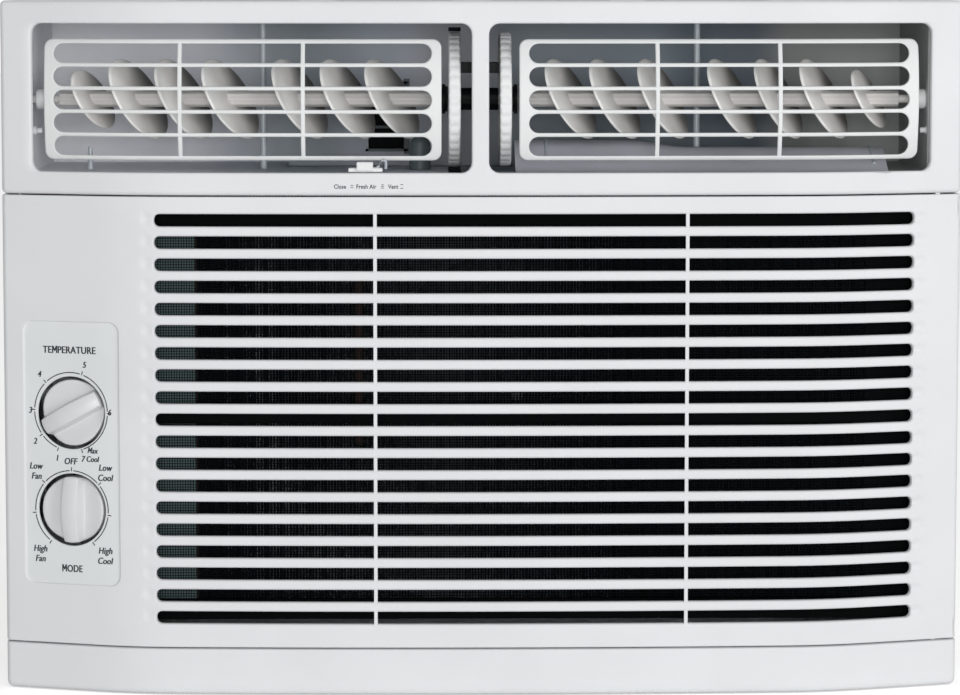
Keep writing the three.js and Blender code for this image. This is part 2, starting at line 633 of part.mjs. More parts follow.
function blowerWheel() {
  const { x, z } = FAN_AXIS;
  const { r, front, back, blades } = BLOWER;
  const backPlate = rod("y", r, back - 2, back, x, z, 28);
  const ringHole = rod("y", r - 14, front - 1, front + 3, x, z, 28);
  const ring = cut(rod("y", r, front, front + 2, x, z, 28), ringHole);
  const hub = rod("y", 9, back - 18, back, x, z, 12);
  const pieces = [];
  for (let i = 0; i < blades; i += 1) {
    const blade = new THREE.BoxGeometry(1.4, back - front - 2, 13);
    blade.rotateY(0.5).translate(0, 0, r - 7.5).rotateY((2 * Math.PI * i) / blades);
    pieces.push(asSolid(blade.translate(x, (front + back) / 2, z)));
  }
  const bore = rod("y", 3.9, front - 5, back + 5, x, z, 10);
  return cut(join(backPlate, ring, hub, ...pieces), bore);
}
add("blower_wheel", blowerWheel(), "grey");

function condenserFan() {
  const { x, z } = FAN_AXIS;
  const hub = rod("y", 22, FAN_Y - 12, FAN_Y + 12, x, z, 20);
  const slingerHole = rod("y", FAN_R, FAN_Y - 9, FAN_Y + 9, x, z, 28);
  const slinger = cut(rod("y", FAN_R + 3, FAN_Y - 4, FAN_Y + 4, x, z, 28), slingerHole);
  const pieces = [];
  for (let i = 0; i < 5; i += 1) {
    const blade = new THREE.BoxGeometry(70, 2.4, FAN_R - 12).rotateZ(0.42);
    blade.translate(0, 0, 12 + (FAN_R - 10) / 2).rotateY((2 * Math.PI * i) / 5);
    pieces.push(asSolid(blade.translate(x, FAN_Y, z)));
  }
  const trim = cut(
    rod("y", 400, FAN_Y - 60, FAN_Y + 60, x, z, 12),
    rod("y", FAN_R + 1.5, FAN_Y - 61, FAN_Y + 61, x, z, 28),
  );
  const blades = cut(join(hub, ...pieces), trim);
  return cut(join(blades, slinger), rod("y", 3.9, FAN_Y - 20, FAN_Y + 20, x, z, 10));
}
add("condenser_fan", condenserFan(), "black");
add("motor_shaft", rod("y", 3.5, BLOWER.front - 1, FAN_Y + 18, FAN_AXIS.x, FAN_AXIS.z, 10), "galvanised");

function fanMotor() {
  const { x, z } = FAN_AXIS;
  const shell = rod("y", MOTOR.r, MOTOR.front, MOTOR.back, x, z, 28);
  const noseFront = rod("y", 17, MOTOR.front - 6, MOTOR.front + 1, x, z, 16);
  const noseBack = rod("y", 17, MOTOR.back - 1, MOTOR.back + 6, x, z, 16);
  return cut(join(shell, noseFront, noseBack), rod("y", 4.1, MOTOR.front - 9, MOTOR.back + 9, x, z, 10));
}
add("fan_motor", fanMotor(), "black");

function motorBracket() {
  const { x, z } = FAN_AXIS;
  const foot = block(x - 60, x + 60, -40, 18, 2, 4);
  const post = block(x - 48, x + 48, -40, 18, 3, z);
  const gapInside = block(x - 46, x + 46, -60, 40, 4, z - 20);
  const saddle = rod("y", MOTOR.r + GAP, -80, 80, x, z, 28);
  return cut(join(foot, post), gapInside, saddle);
}
add("motor_bracket", motorBracket(), "galvanised");

function bulkhead() {
  const { x, z } = FAN_AXIS;
  const plate = block(-226, 226, BULKHEAD_Y - SHEET / 2, BULKHEAD_Y + SHEET / 2, 2, 335);
  const motorHole = rod("y", 26, BULKHEAD_Y - 5, BULKHEAD_Y + 5, x, z, 20);
  const suctionHole = rod("y", 8, BULKHEAD_Y - 5, BULKHEAD_Y + 5, 206, 226, 12);
  const capillaryHole = rod("y", 4, BULKHEAD_Y - 5, BULKHEAD_Y + 5, 206, 60, 8);
  const ventHole = block(VENT.left, VENT.right, BULKHEAD_Y - 5, BULKHEAD_Y + 5, VENT.bottom, VENT.top);
  return cut(plate, motorHole, suctionHole, capillaryHole, ventHole);
}
add("bulkhead", bulkhead(), "galvanised");

// An open box in front of the condenser, with a round hole for the ring that the fan turns in.
function fanShroud() {
  const { halfW, bottom, top, throatY, ringR } = SHROUD;
  const outer = block(-halfW, halfW, throatY, CONDENSER.front - GAP, bottom, top);
  const inner = block(
    SHEET - halfW, halfW - SHEET, throatY + SHEET, BACK_Y, bottom + SHEET, top - SHEET,
  );
  return cut(outer, inner, rod("y", ringR + GAP, FAN_Y, throatY + 10, FAN_AXIS.x, FAN_AXIS.z, 32));
}
add("fan_shroud", fanShroud(), "galvanised");

function fanRing() {
  const { throatY, ringR, ringWall } = SHROUD;
  const { x, z } = FAN_AXIS;
  const ring = rod("y", ringR, FAN_Y - 6, throatY + SHEET, x, z, 32);
  return cut(ring, rod("y", ringR - ringWall, FAN_Y - 20, throatY + 10, x, z, 32));
}
add("fan_ring", fanRing(), "galvanised");

// ---- Refrigerant circuit ------------------------------------------------------------------------
// A closed round vessel standing at (x, y): its profile is a list of (radius, height).
function vessel(profile, x, y, sides) {
  const shell = new THREE.LatheGeometry(profile.map(([r, z]) => new THREE.Vector2(r, z)), sides);
  return asSolid(shell.rotateX(Math.PI / 2).translate(x, y, 0));
}

function compressor() {
  const { x, y, r, bottom, top } = COMPRESSOR;
  const profile = [
    [0, bottom],
    [r - 12, bottom],
    [r, bottom + 10],
    [r, top - 26],
    [r - 8, top - 12],
    [r - 26, top - 3],
    [0, top],
  ];
  return vessel(profile, x, y, 28);
}
add("compressor", compressor(), "black");

function compressorBase() {
  const { x, y, bottom } = COMPRESSOR;
  const { reach, r, turns } = COMPRESSOR_FEET;
  const z0 = bottom - 3.5;
  const plate = rod("z", 44, z0, bottom - GAP, x, y, 20);
  const lobes = turns.map((turn) => {
    const arm = block(0, reach, -r, r, z0, bottom - GAP).rotate([0, 0, THREE.MathUtils.radToDeg(turn)]);
    return arm.translate([x, y, 0]);
  });
  return join(plate, ...lobes);
}
add("compressor_base", compressorBase(), "black");

COMPRESSOR_FEET.turns.forEach((turn, i) => {
  const { x, y, bottom } = COMPRESSOR;
  const { reach, r } = COMPRESSOR_FEET;
  const at = [x + (reach - r) * Math.cos(turn), y + (reach - r) * Math.sin(turn)];
  add("compressor_foot_" + (i + 1), rod("z", r, 1.8, bottom - 3.5 - GAP, ...at, 14), "rubber");
});

function accumulator() {
  const { x, y, r, bottom, top } = ACCUMULATOR;
  const profile = [
    [0, bottom],
    [r - 6, bottom + 2],
    [r, bottom + 12],
    [r, top - 12],
    [r - 6, top - 2],
    [0, top],
  ];
  return vessel(profile, x, y, 18);
}
add("accumulator", accumulator(), "black");

// From the top of the accumulator, forward through the bulkhead to the evaporator.
const SUCTION_PATH = [
  [186, -38, 170.3],
  [186, -38, 198],
  [192, -44, 218],
  [206, -58, 226],
  [206, -100, 226],
  [206, -150, 225],
  [206, -176, 224],
];
add("suction_tube", tube(SUCTION_PATH, 4.5, 18, 6), "copper");

// From the top of the compressor, back to the condenser.
const DISCHARGE_PATH = [
  [150, 32, 196.5],
  [150, 32, 232],
  [158, 44, 250],
  [196, 76, 256],
  [220, 110, 256],
  [222.5, 160, 256],
  [222.5, 198, 256],
];
add("discharge_tube", tube(DISCHARGE_PATH, 3.6, 18, 6), "copper");

// A few loose turns of fine tube between the condenser's outlet and the evaporator's inlet.
function capillaryPath() {
  const coil = { x: 217, y: -12, z: 62, r: 14, rise: 0.7, turns: 3, steps: 8 };
  const points = [[222, 198, 40], [222, 150, 44], [218, 90, 60]];
  for (let i = 0; i <= coil.turns * coil.steps; i += 1) {
    const turn = (2 * Math.PI * i) / coil.steps;
    points.push([
      coil.x,
      coil.y + coil.r * Math.cos(turn),
      coil.z + coil.r * Math.sin(turn) + i * coil.rise,
    ]);
  }
  points.push([212, -20, 64], [206, -58, 60], [206, -110, 58], [206, -176, 56]);
  return points;
}
add("capillary_tube", tube(capillaryPath(), 1.5, 52, 5), "copper");

// ---- Cabinet, base and small fittings -----------------------------------------------------------
function basePan() {
  const { halfW, front, back, height, wall } = BASE_PAN;
  const outer = block(-halfW, halfW, front, back, 0, height);
  const inner = block(wall - halfW, halfW - wall, front + wall, back - wall, wall, height + 8);
  return cut(outer, inner, rod("z", DRAIN.r, -5, 10, DRAIN.x, DRAIN.y, 14));
}
add("base_pan", basePan(), "galvanised");

function sideVents() {
  const { columns, rows, y, z, length, height, columnPitch, rowPitch } = SIDE_VENTS;
  const vents = [];
  for (let column = 0; column < columns; column += 1) {
    for (let row = 0; row < rows; row += 1) {
      const y0 = y + column * columnPitch;
      const z0 = z + row * rowPitch;
      vents.push(block(-400, 400, y0, y0 + length, z0, z0 + height));
    }
  }
  return vents;
}

function topVents() {
  const { columns, rows, x, y, length, height, columnPitch, rowPitch } = TOP_VENTS;
  const vents = [];
  for (let column = 0; column < columns; column += 1) {
    for (let row = 0; row < rows; row += 1) {
      const x0 = x + column * columnPitch;
      const y0 = y + row * rowPitch;
      vents.push(block(x0, x0 + length, y0, y0 + height, 300, 400));
    }
  }
  return vents;
}

function cabinetWrap() {
  const { halfW, top, front } = CABINET;
  const outer = block(-halfW, halfW, front, BACK_Y, 1, top);
  const inner = block(SHEET - halfW, halfW - SHEET, front - 5, BACK_Y - SHEET, -5, top - SHEET);
  const rearOpening = block(
    -REAR_OPENING.halfW, REAR_OPENING.halfW, REAR_OPENING.front, BACK_Y + 54, -5, REAR_OPENING.top,
  );
  const cordHole = rod("x", GROMMET.r + GAP, 200, 300, GROMMET.y, GROMMET.z, 16);
  const underside = block(-halfW + SHEET, halfW - SHEET, front - 5, BACK_Y + 5, -5, 12);
  return cut(outer, inner, rearOpening, underside, cordHole, ...sideVents(), ...topVents());
}
add("cabinet_wrap", cabinetWrap(), "steel");

function cordGrommet() {
  const inside = CABINET.halfW - SHEET - GAP;
  const outside = CABINET.halfW + GAP;
  const flanges = join(
    rod("x", GROMMET.r + 2.5, inside - 3, inside, GROMMET.y, GROMMET.z, 16),
    rod("x", GROMMET.r + 2.5, outside, outside + 2, GROMMET.y, GROMMET.z, 16),
    rod("x", GROMMET.r, inside - 1, outside + 1, GROMMET.y, GROMMET.z, 16),
  );
  return cut(flanges, rod("x", 4.5, 200, 260, GROMMET.y, GROMMET.z, 12));
}
add("cord_grommet", cordGrommet(), "rubber");

function drainPlug() {
  const stem = rod("z", DRAIN.r - 0.4, 0.4, 3, DRAIN.x, DRAIN.y, 14);
  return join(stem, rod("z", DRAIN.r + 3, 1.8, 4, DRAIN.x, DRAIN.y, 14));
}
add("drain_plug", drainPlug(), "rubber");

function sensingBulb() {
  return rod("z", 2.4, 120, 205, -60, EVAPORATOR.front - 3, 10);
}
add("sensing_bulb", sensingBulb(), "copper");

export default unit;
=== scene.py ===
"""Looks of the window air conditioner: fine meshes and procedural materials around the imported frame."""
import math
import random

import bmesh
import bpy
import numpy as np
from mathutils import Matrix, Vector
from mathutils.geometry import delaunay_2d_cdt

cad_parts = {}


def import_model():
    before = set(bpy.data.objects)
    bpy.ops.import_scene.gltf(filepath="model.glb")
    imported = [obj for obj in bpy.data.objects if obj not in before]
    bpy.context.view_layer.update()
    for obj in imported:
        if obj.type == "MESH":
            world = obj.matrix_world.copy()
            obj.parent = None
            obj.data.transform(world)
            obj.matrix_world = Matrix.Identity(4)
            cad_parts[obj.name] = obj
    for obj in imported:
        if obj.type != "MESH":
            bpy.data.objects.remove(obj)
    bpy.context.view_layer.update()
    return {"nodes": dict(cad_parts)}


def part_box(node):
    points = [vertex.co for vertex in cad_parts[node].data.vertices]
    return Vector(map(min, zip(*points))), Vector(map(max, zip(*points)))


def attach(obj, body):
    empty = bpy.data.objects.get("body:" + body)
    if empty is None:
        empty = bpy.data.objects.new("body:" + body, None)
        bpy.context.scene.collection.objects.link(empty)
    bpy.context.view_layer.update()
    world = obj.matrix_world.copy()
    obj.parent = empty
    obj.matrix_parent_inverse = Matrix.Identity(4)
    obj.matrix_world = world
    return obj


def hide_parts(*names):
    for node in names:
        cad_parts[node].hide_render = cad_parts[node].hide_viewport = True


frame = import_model()
random.seed(7)

# ---- Sizes, in metres ---------------------------------------------------------------------------
MM = 0.001
HOUSING = "housing"
TOP_LOW, TOP_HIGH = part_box("front_frame")
PANEL_LOW, PANEL_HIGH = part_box("intake_panel")
TRIM_LOW, TRIM_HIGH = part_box("bottom_trim")
FRONT_Y = TOP_LOW.y
HALF_W = TOP_HIGH.x
MOULDING_BACK = TOP_HIGH.y
WALL = 3 * MM

# The plan curve of the front: a shallow bow, a blend and a flat wing.
BOW_HALF = 150 * MM
WING_START = 190 * MM
WING_ANGLE = math.radians(18.5)
BOW_SHAPE = 6.0
CORNER_R = 3.2 * MM
RIGHT_EXTRA = 2.3 * MM

# Intake grille.
SLOT_ROWS = 19
SLOT_PITCH = 10.85 * MM
SLOT_HEIGHT = 6.1 * MM
SLOT_FIRST_Z = 38.15 * MM
SLOT_LEFT = -159.2 * MM
SLOT_RIGHT = 211.9 * MM
SLOT_RIBS = (-51.3 * MM, 101 * MM)

# Discharge openings.
OPENING_INNER = 4.2 * MM
OPENING_OUTER = 220 * MM
OPENING_BOTTOM = 256.6 * MM
OPENING_TOP = 328.9 * MM
OPENING_R = 5.2 * MM
PIVOT_Y = FRONT_Y + 36 * MM
PIVOT_Z = 291.5 * MM

# Controls.
KNOB_X = -201.5 * MM
KNOB_Z = {"temp": 138 * MM, "mode": 90 * MM}
KNOB_R = 16.35 * MM
KNOB_HOLE_R = 18.0 * MM


# ---- Mesh tools ---------------------------------------------------------------------------------
class Shape:
    """Vertices and faces that become one object."""

    def __init__(self):
        self.verts = []
        self.faces = []

    def add(self, points):
        start = len(self.verts)
        self.verts.extend(tuple(p) for p in points)
        return list(range(start, len(self.verts)))

    def face(self, *corners):
        self.faces.append(tuple(corners))

    def skin(self, rows, closed=True):
        """Faces between each row of ids and the next."""
        for low, high in zip(rows, rows[1:]):
            self.strip(low, high, closed)

    def strip(self, low, high, closed=True):
        """Quads between two rows of vertices of the same length."""
        count = len(low)
        for i in range(count if closed else count - 1):
            j = (i + 1) % count
            self.face(low[i], low[j], high[j], high[i])

    def cap(self, loop, flip=False):
        self.faces.append(tuple(reversed(loop)) if flip else tuple(loop))

    def block(self, low, high):
        (x0, y0, z0), (x1, y1, z1) = low, high
        v = self.add([(x0, y0, z0), (x1, y0, z0), (x1, y1, z0), (x0, y1, z0),
                      (x0, y0, z1), (x1, y0, z1), (x1, y1, z1), (x0, y1, z1)])
        for corners in ((0, 3, 2, 1), (4, 5, 6, 7), (0, 1, 5, 4), (1, 2, 6, 5), (2, 3, 7, 6), (3, 0, 4, 7)):
            self.face(*(v[i] for i in corners))

    def lathe(self, profile, centre, axis, turns=48):
        """A turned form: profile is (distance along the axis, radius); ends close on the axis."""
        side, up = perpendicular(axis)
        axis = Vector(axis).normalized()
        centre = Vector(centre)
        rows = []
        for along, radius in profile:
            if radius <= 0:
                rows.append(self.add([centre + axis * along]) * turns)
                continue
            ring = []
            for i in range(turns):
                a = 2 * math.pi * i / turns
                ring.append(centre + axis * along + (side * math.cos(a) + up * math.sin(a)) * radius)
            rows.append(self.add(ring))
        for low, high in zip(rows, rows[1:]):
            for i in range(turns):
                j = (i + 1) % turns
                corners = []
                for v in (low[i], low[j], high[j], high[i]):
                    if v not in corners:
                        corners.append(v)
                if len(corners) > 2:
                    self.face(*corners)

    def moved(self, matrix):
        self.verts = [tuple(matrix @ Vector(v)) for v in self.verts]
        return self

    def piece(self, name, body, material, replaces=(), sharp=38, weld=0.0, weighted=True):
        mesh = bpy.data.meshes.new(name)
        mesh.from_pydata(self.verts, [], self.faces)
        mesh.validate()
        bm = bmesh.new()
        bm.from_mesh(mesh)
        if weld:
            bmesh.ops.remove_doubles(bm, verts=bm.verts, dist=weld)
        bmesh.ops.recalc_face_normals(bm, faces=bm.faces)
        limit = math.radians(sharp)
        for edge in bm.edges:
            edge.smooth = len(edge.link_faces) == 2 and edge.calc_face_angle(0) < limit
        for face in bm.faces:
            face.smooth = True
        bm.to_mesh(mesh)
        bm.free()
        obj = bpy.data.objects.new(name, mesh)
        bpy.context.scene.collection.objects.link(obj)
        obj.data.materials.append(material)
        if weighted:
            add_weighted_normals(obj)
        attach(obj, body)
        if replaces:
            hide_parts(*replaces)
        return obj


def add_weighted_normals(obj):
    modifier = obj.modifiers.new("weighted", "WEIGHTED_NORMAL")
    modifier.keep_sharp = True
    modifier.weight = 80


def perpendicular(axis):
    axis = Vector(axis).normalized()
    helper = Vector((0, 0, 1)) if abs(axis.z) < 0.9 else Vector((1, 0, 0))
    side = axis.cross(helper).normalized()
    return side, axis.cross(side).normalized()


def smoothstep(low, high, value):
    t = min(1.0, max(0.0, (value - low) / (high - low)))
    return t * t * (3 - 2 * t)


# ---- The plan curve -----------------------------------------------------------------------------
def right_stretch(x):
    """The right wing is a little longer than the left one."""
    return RIGHT_EXTRA * smoothstep(BOW_HALF, 222 * MM, x) if x > 0 else 0.0


def front_depth(x):
    """How far the front face lies behind its centre at this x."""
    side = abs(x)
    if side <= BOW_HALF:
        return side * side / BOW_SHAPE
    bow_slope = math.atan(2 * BOW_HALF / BOW_SHAPE)
    radius = (WING_START - BOW_HALF) / (math.sin(WING_ANGLE) - math.sin(bow_slope))

    def blend(s):
        slope = math.asin(math.sin(bow_slope) + (s - BOW_HALF) / radius)
        return BOW_HALF ** 2 / BOW_SHAPE + radius * (math.cos(bow_slope) - math.cos(slope))

    if side <= WING_START:
        return blend(side)
    return blend(WING_START) + (side - WING_START) * math.tan(WING_ANGLE)


class PlanCurve:
    """The outline of the front in plan, from the middle round the corner and back along the side."""

    def __init__(self):
        step = 0.5 * MM
        corner_turn = math.pi / 2 - WING_ANGLE
        tangent = CORNER_R * math.tan(corner_turn / 2)
        flat_end = HALF_W - tangent * math.cos(WING_ANGLE)
        points = [(x, FRONT_Y + front_depth(x)) for x in np.arange(0, flat_end, step)]
        points.append((flat_end, FRONT_Y + front_depth(flat_end)))
        centre_x = flat_end - CORNER_R * math.sin(WING_ANGLE)
        centre_y = points[-1][1] + CORNER_R * math.cos(WING_ANGLE)
        for i in range(1, 13):
            a = WING_ANGLE + corner_turn * i / 12
            points.append((centre_x + CORNER_R * math.sin(a), centre_y - CORNER_R * math.cos(a)))
        points.append((HALF_W, MOULDING_BACK))
        self.points = np.array(points)
        gaps = np.diff(self.points, axis=0)
        lengths = np.hypot(gaps[:, 0], gaps[:, 1])
        self.run = np.concatenate([[0], np.cumsum(lengths)])
        directions = gaps / lengths[:, None]
        inward = np.column_stack([-directions[:, 1], directions[:, 0]])
        normals = np.vstack([inward[:1], inward[:-1] + inward[1:], inward[-1:]])
        normals[0] = (0, 1)
        self.normals = normals / np.linalg.norm(normals, axis=1)[:, None]
        self.end = self.run[-1]
        self.corner_start = self.run[-14]
        self.corner_end = self.run[-2]

    def at_x(self, x):
        """The run along the curve at this x."""
        return math.copysign(float(np.interp(abs(x), self.points[:-1, 0], self.run[:-1])), x)

    def place(self, u, w, z):
        """The point at run u, w behind the surface, at height z."""
        s = abs(u)
        x = np.interp(s, self.run, self.points[:, 0]) + w * np.interp(s, self.run, self.normals[:, 0])
        y = np.interp(s, self.run, self.points[:, 1]) + w * np.interp(s, self.run, self.normals[:, 1])
        x = math.copysign(1, u) * float(x)
        return (x + right_stretch(x), float(y), z)

    def stations(self):
        """Places along the curve where a plate that is wrapped round it bends."""
        flat = [self.at_x(x * MM) for x in range(0, 151, 10)]
        blend = [self.at_x(x * MM) for x in range(154, 191, 4)]
        wing = [self.at_x(x * MM) for x in range(195, 231, 7)]
        corner = list(np.linspace(self.corner_start, self.corner_end, 13))
        side = list(np.linspace(self.corner_end, self.end, 7))[1:-1]
        right = flat + blend + wing + corner + side
        return sorted({round(s, 7) for s in right} | {-round(s, 7) for s in right})


PLAN = PlanCurve()


# ---- Pierced plates with rounded edges ----------------------------------------------------------
ARC_STEPS = 6
EDGE_STEPS = 4


class Outline:
    """A rounded rectangle, or a circle, in the plate's (u, z) plane."""

    def __init__(self, u0, u1, z0, z1, radius=0.0, edge=1 * MM, us=(), zs=(), ends=(1, 1), levels=(1, 1)):
        self.u0, self.u1, self.z0, self.z1, self.radius, self.edge = u0, u1, z0, z1, radius, edge
        self.ends, self.levels = ends, levels
        keep = max(radius, 1.5 * MM)
        self.us = [u for u in us if u0 + keep < u < u1 - keep]
        self.zs = [z for z in zs if z0 + keep < z < z1 - keep]

    def loop(self, grow):
        """Counter-clockwise points of the outline moved outwards by grow."""
        r = self.radius + grow if self.radius else 0.0
        u0, u1 = self.u0 - grow * self.ends[0], self.u1 + grow * self.ends[1]
        z0, z1 = self.z0 - grow * self.levels[0], self.z1 + grow * self.levels[1]
        steps = ARC_STEPS if self.radius else 0

        def corner(cu, cz, start):
            if not steps:
                return [(cu, cz)]
            turns = [start + math.pi / 2 * i / steps for i in range(steps + 1)]
            return [(cu + r * math.cos(a), cz + r * math.sin(a)) for a in turns]

        points = []
        points += corner(u0 + r, z0 + r, math.pi)
        points += [(u, z0) for u in self.us]
        points += corner(u1 - r, z0 + r, -math.pi / 2)
        points += [(u1, z) for z in self.zs]
        points += corner(u1 - r, z1 - r, 0)
        points += [(u, z1) for u in reversed(self.us)]
        points += corner(u0 + r, z1 - r, math.pi / 2)
        points += [(u0, z) for z in reversed(self.zs)]
        return points


class Circle(Outline):
    def __init__(self, u, z, radius, edge=0.6 * MM, steps=64):
        self.centre, self.r, self.edge, self.steps = (u, z), radius, edge, steps
        self.ends = (1, 1)
        self.u0, self.u1, self.z0, self.z1 = u - radius, u + radius, z - radius, z + radius

    def loop(self, grow):
        turns = [2 * math.pi * i / self.steps for i in range(self.steps)]
        (u, z), r = self.centre, self.r + grow
        return [(u + r * math.cos(a), z + r * math.sin(a)) for a in turns]


def inside(points, polygon):
    """Which of the points lie inside the polygon."""
    result = np.zeros(len(points), bool)
    poly = np.array(polygon)
    low, high = poly.min(0), poly.max(0)
    near = np.where(((points > low) & (points < high)).all(1))[0]
    if not len(near):
        return result
    x, y = points[near, 0], points[near, 1]
    hit = np.zeros(len(near), bool)
    for (x0, y0), (x1, y1) in zip(poly, np.roll(poly, -1, axis=0)):
        if y0 == y1:
            continue
        crosses = (y0 > y) != (y1 > y)
        hit ^= crosses & (x < (x1 - x0) * (y - y0) / (y1 - y0) + x0)
    result[near] = hit
    return result


def pierced_plate(shape, place, boundary, holes, thickness, us, zs, relief=None, extra=()):
    """A plate in the (u, z) plane with rounded edges, put in space by place(u, w, z)."""
    outlines = [(boundary, -1)] + [(h, 1) for h in holes]
    flat, loops = [], []
    for outline, sign in outlines:
        points = outline.loop(sign * outline.edge)
        loops.append(list(range(len(flat), len(flat) + len(points))))
        flat.extend(points)
    polygons = [[flat[i] for i in loop] for loop in loops]
    grid = np.array([(u, z) for u in us for z in zs] + list(extra))
    margin = 0.9 * MM
    keep = np.ones(len(grid), bool)
    (b0, b1, c0, c1) = (boundary.u0, boundary.u1, boundary.z0, boundary.z1)
    inset = boundary.edge + margin
    keep &= (grid[:, 0] > b0 + inset) & (grid[:, 0] < b1 - inset)
    keep &= (grid[:, 1] > c0 + boundary.edge * boundary.levels[0] + margin)
    keep &= grid[:, 1] < c1 - boundary.edge * boundary.levels[1] - margin
    for hole, _ in outlines[1:]:
        reach, (near, far) = hole.edge + margin, hole.ends
        keep &= ~((grid[:, 0] > hole.u0 - near * reach) & (grid[:, 0] < hole.u1 + far * reach)
                  & (grid[:, 1] > hole.z0 - reach) & (grid[:, 1] < hole.z1 + reach))
    flat.extend(tuple(p) for p in grid[keep])
    edges = [(loop[i], loop[(i + 1) % len(loop)]) for loop in loops for i in range(len(loop))]
    made = delaunay_2d_cdt([Vector(p) for p in flat], edges, [], 0, 1e-9)
    points, triangles, origins = made[0], made[2], made[3]
    source = [o[0] if o else None for o in origins]
    centres = np.array([np.mean([points[i] for i in t], axis=0) for t in triangles])
    solid = inside(centres, polygons[0])
    for polygon in polygons[1:]:
        solid &= ~inside(centres, polygon)
    kept = [tuple(source[i] for i in t) for t, ok in zip(triangles, solid) if ok]
    kept = [t for t in kept if None not in t]

    def depth(u, z, w):
        return w + (relief(u, z) if relief else 0.0)

    front = shape.add([place(u, depth(u, z, 0.0), z) for u, z in flat])
    for t in kept:
        shape.face(*(front[i] for i in t))
    back = {}
    for (outline, sign), loop in zip(outlines, loops):
        previous = [front[i] for i in loop]
        for step in range(1, EDGE_STEPS + 1):
            a = math.pi / 2 * step / EDGE_STEPS
            offset = sign * outline.edge * (1 - math.sin(a))
            sink = outline.edge * (1 - math.cos(a))
            ring = shape.add([place(u, depth(u, z, sink), z) for u, z in outline.loop(offset)])
            shape.strip(previous, ring)
            previous = ring
        ring = shape.add([place(u, thickness, z) for u, z in outline.loop(0.0)])
        shape.strip(previous, ring)
        back.update(zip(loop, ring))
    for i in sorted({i for t in kept for i in t} - set(back)):
        back[i] = shape.add([place(flat[i][0], thickness, flat[i][1])])[0]
    for t in kept:
        shape.face(*(back[i] for i in reversed(t)))


# ---- Materials ----------------------------------------------------------------------------------
def new_material(name):
    material = bpy.data.materials.new(name)
    material.use_nodes = True
    nodes, links = material.node_tree.nodes, material.node_tree.links
    shader = nodes["Principled BSDF"]
    return material, nodes, links, shader


def srgb(r, g, b):
    """A colour from 0 to 255 screen values."""
    def linear(v):
        v /= 255
        return v / 12.92 if v <= 0.04045 else ((v + 0.055) / 1.055) ** 2.4
    return (linear(r), linear(g), linear(b), 1.0)


def object_noise(nodes, links, scale, detail=2.0):
    place = nodes.new("ShaderNodeTexCoord")
    noise = nodes.new("ShaderNodeTexNoise")
    noise.inputs["Scale"].default_value = scale
    noise.inputs["Detail"].default_value = detail
    links.new(place.outputs["Object"], noise.inputs["Vector"])
    return noise


def moulded(name, colour, roughness=0.42, grain=1400, bump=0.05, mottle=0.02, metallic=0.0,
            specular=0.5):
    """Moulded plastic, rubber or paint: fine grain, faint mottling and uneven gloss."""
    material, nodes, links, shader = new_material(name)
    shader.inputs["Metallic"].default_value = metallic
    shader.inputs["Specular IOR Level"].default_value = specular
    broad = object_noise(nodes, links, 22, 3)
    ramp = nodes.new("ShaderNodeValToRGB")
    dark = tuple(c * (1 - mottle) for c in colour[:3]) + (1.0,)
    light = tuple(min(1.0, c * (1 + mottle)) for c in colour[:3]) + (1.0,)
    ramp.color_ramp.elements[0].color = dark
    ramp.color_ramp.elements[1].color = light
    ramp.color_ramp.elements[0].position = 0.3
    ramp.color_ramp.elements[1].position = 0.7
    links.new(broad.outputs["Fac"], ramp.inputs["Fac"])
    links.new(ramp.outputs["Color"], shader.inputs["Base Color"])
    fine = object_noise(nodes, links, grain, 2)
    gloss = nodes.new("ShaderNodeMapRange")
    gloss.inputs["To Min"].default_value = roughness - 0.05
    gloss.inputs["To Max"].default_value = roughness + 0.06
    links.new(broad.outputs["Fac"], gloss.inputs["Value"])
    links.new(gloss.outputs["Result"], shader.inputs["Roughness"])
    relief = nodes.new("ShaderNodeBump")
    relief.inputs["Strength"].default_value = bump
    relief.inputs["Distance"].default_value = 0.00012
    links.new(fine.outputs["Fac"], relief.inputs["Height"])
    links.new(relief.outputs["Normal"], shader.inputs["Normal"])
    return material


def paint_shade_along(mat, axis, stops):
    """Paint shade into the base colour: multiply it by a ramp along one object axis (0 x, 1 y, 2 z).

    stops are (metres, colour)."""
    nodes, links = mat.node_tree.nodes, mat.node_tree.links
    shader = nodes["Principled BSDF"]
    source = shader.inputs["Base Color"].links[0].from_socket
    coords, parts = nodes.new("ShaderNodeTexCoord"), nodes.new("ShaderNodeSeparateXYZ")
    links.new(coords.outputs["Object"], parts.inputs[0])
    span, ramp = nodes.new("ShaderNodeMapRange"), nodes.new("ShaderNodeValToRGB")
    low, high = stops[0][0], stops[-1][0]
    span.inputs["From Min"].default_value, span.inputs["From Max"].default_value = low, high
    links.new(parts.outputs[axis], span.inputs["Value"])
    links.new(span.outputs["Result"], ramp.inputs["Fac"])
    ramp.color_ramp.interpolation = "EASE"
    while len(ramp.color_ramp.elements) < len(stops):
        ramp.color_ramp.elements.new(0.5)
    for element, (where, colour) in zip(ramp.color_ramp.elements, stops):
        element.position = (where - low) / (high - low)
        element.color = colour
    mix = nodes.new("ShaderNodeMix")
    mix.data_type, mix.blend_type = "RGBA", "MULTIPLY"
    mix.inputs[0].default_value = 1.0
    links.new(source, mix.inputs[6])
    links.new(ramp.outputs["Color"], mix.inputs[7])
    links.new(mix.outputs[2], shader.inputs["Base Color"])


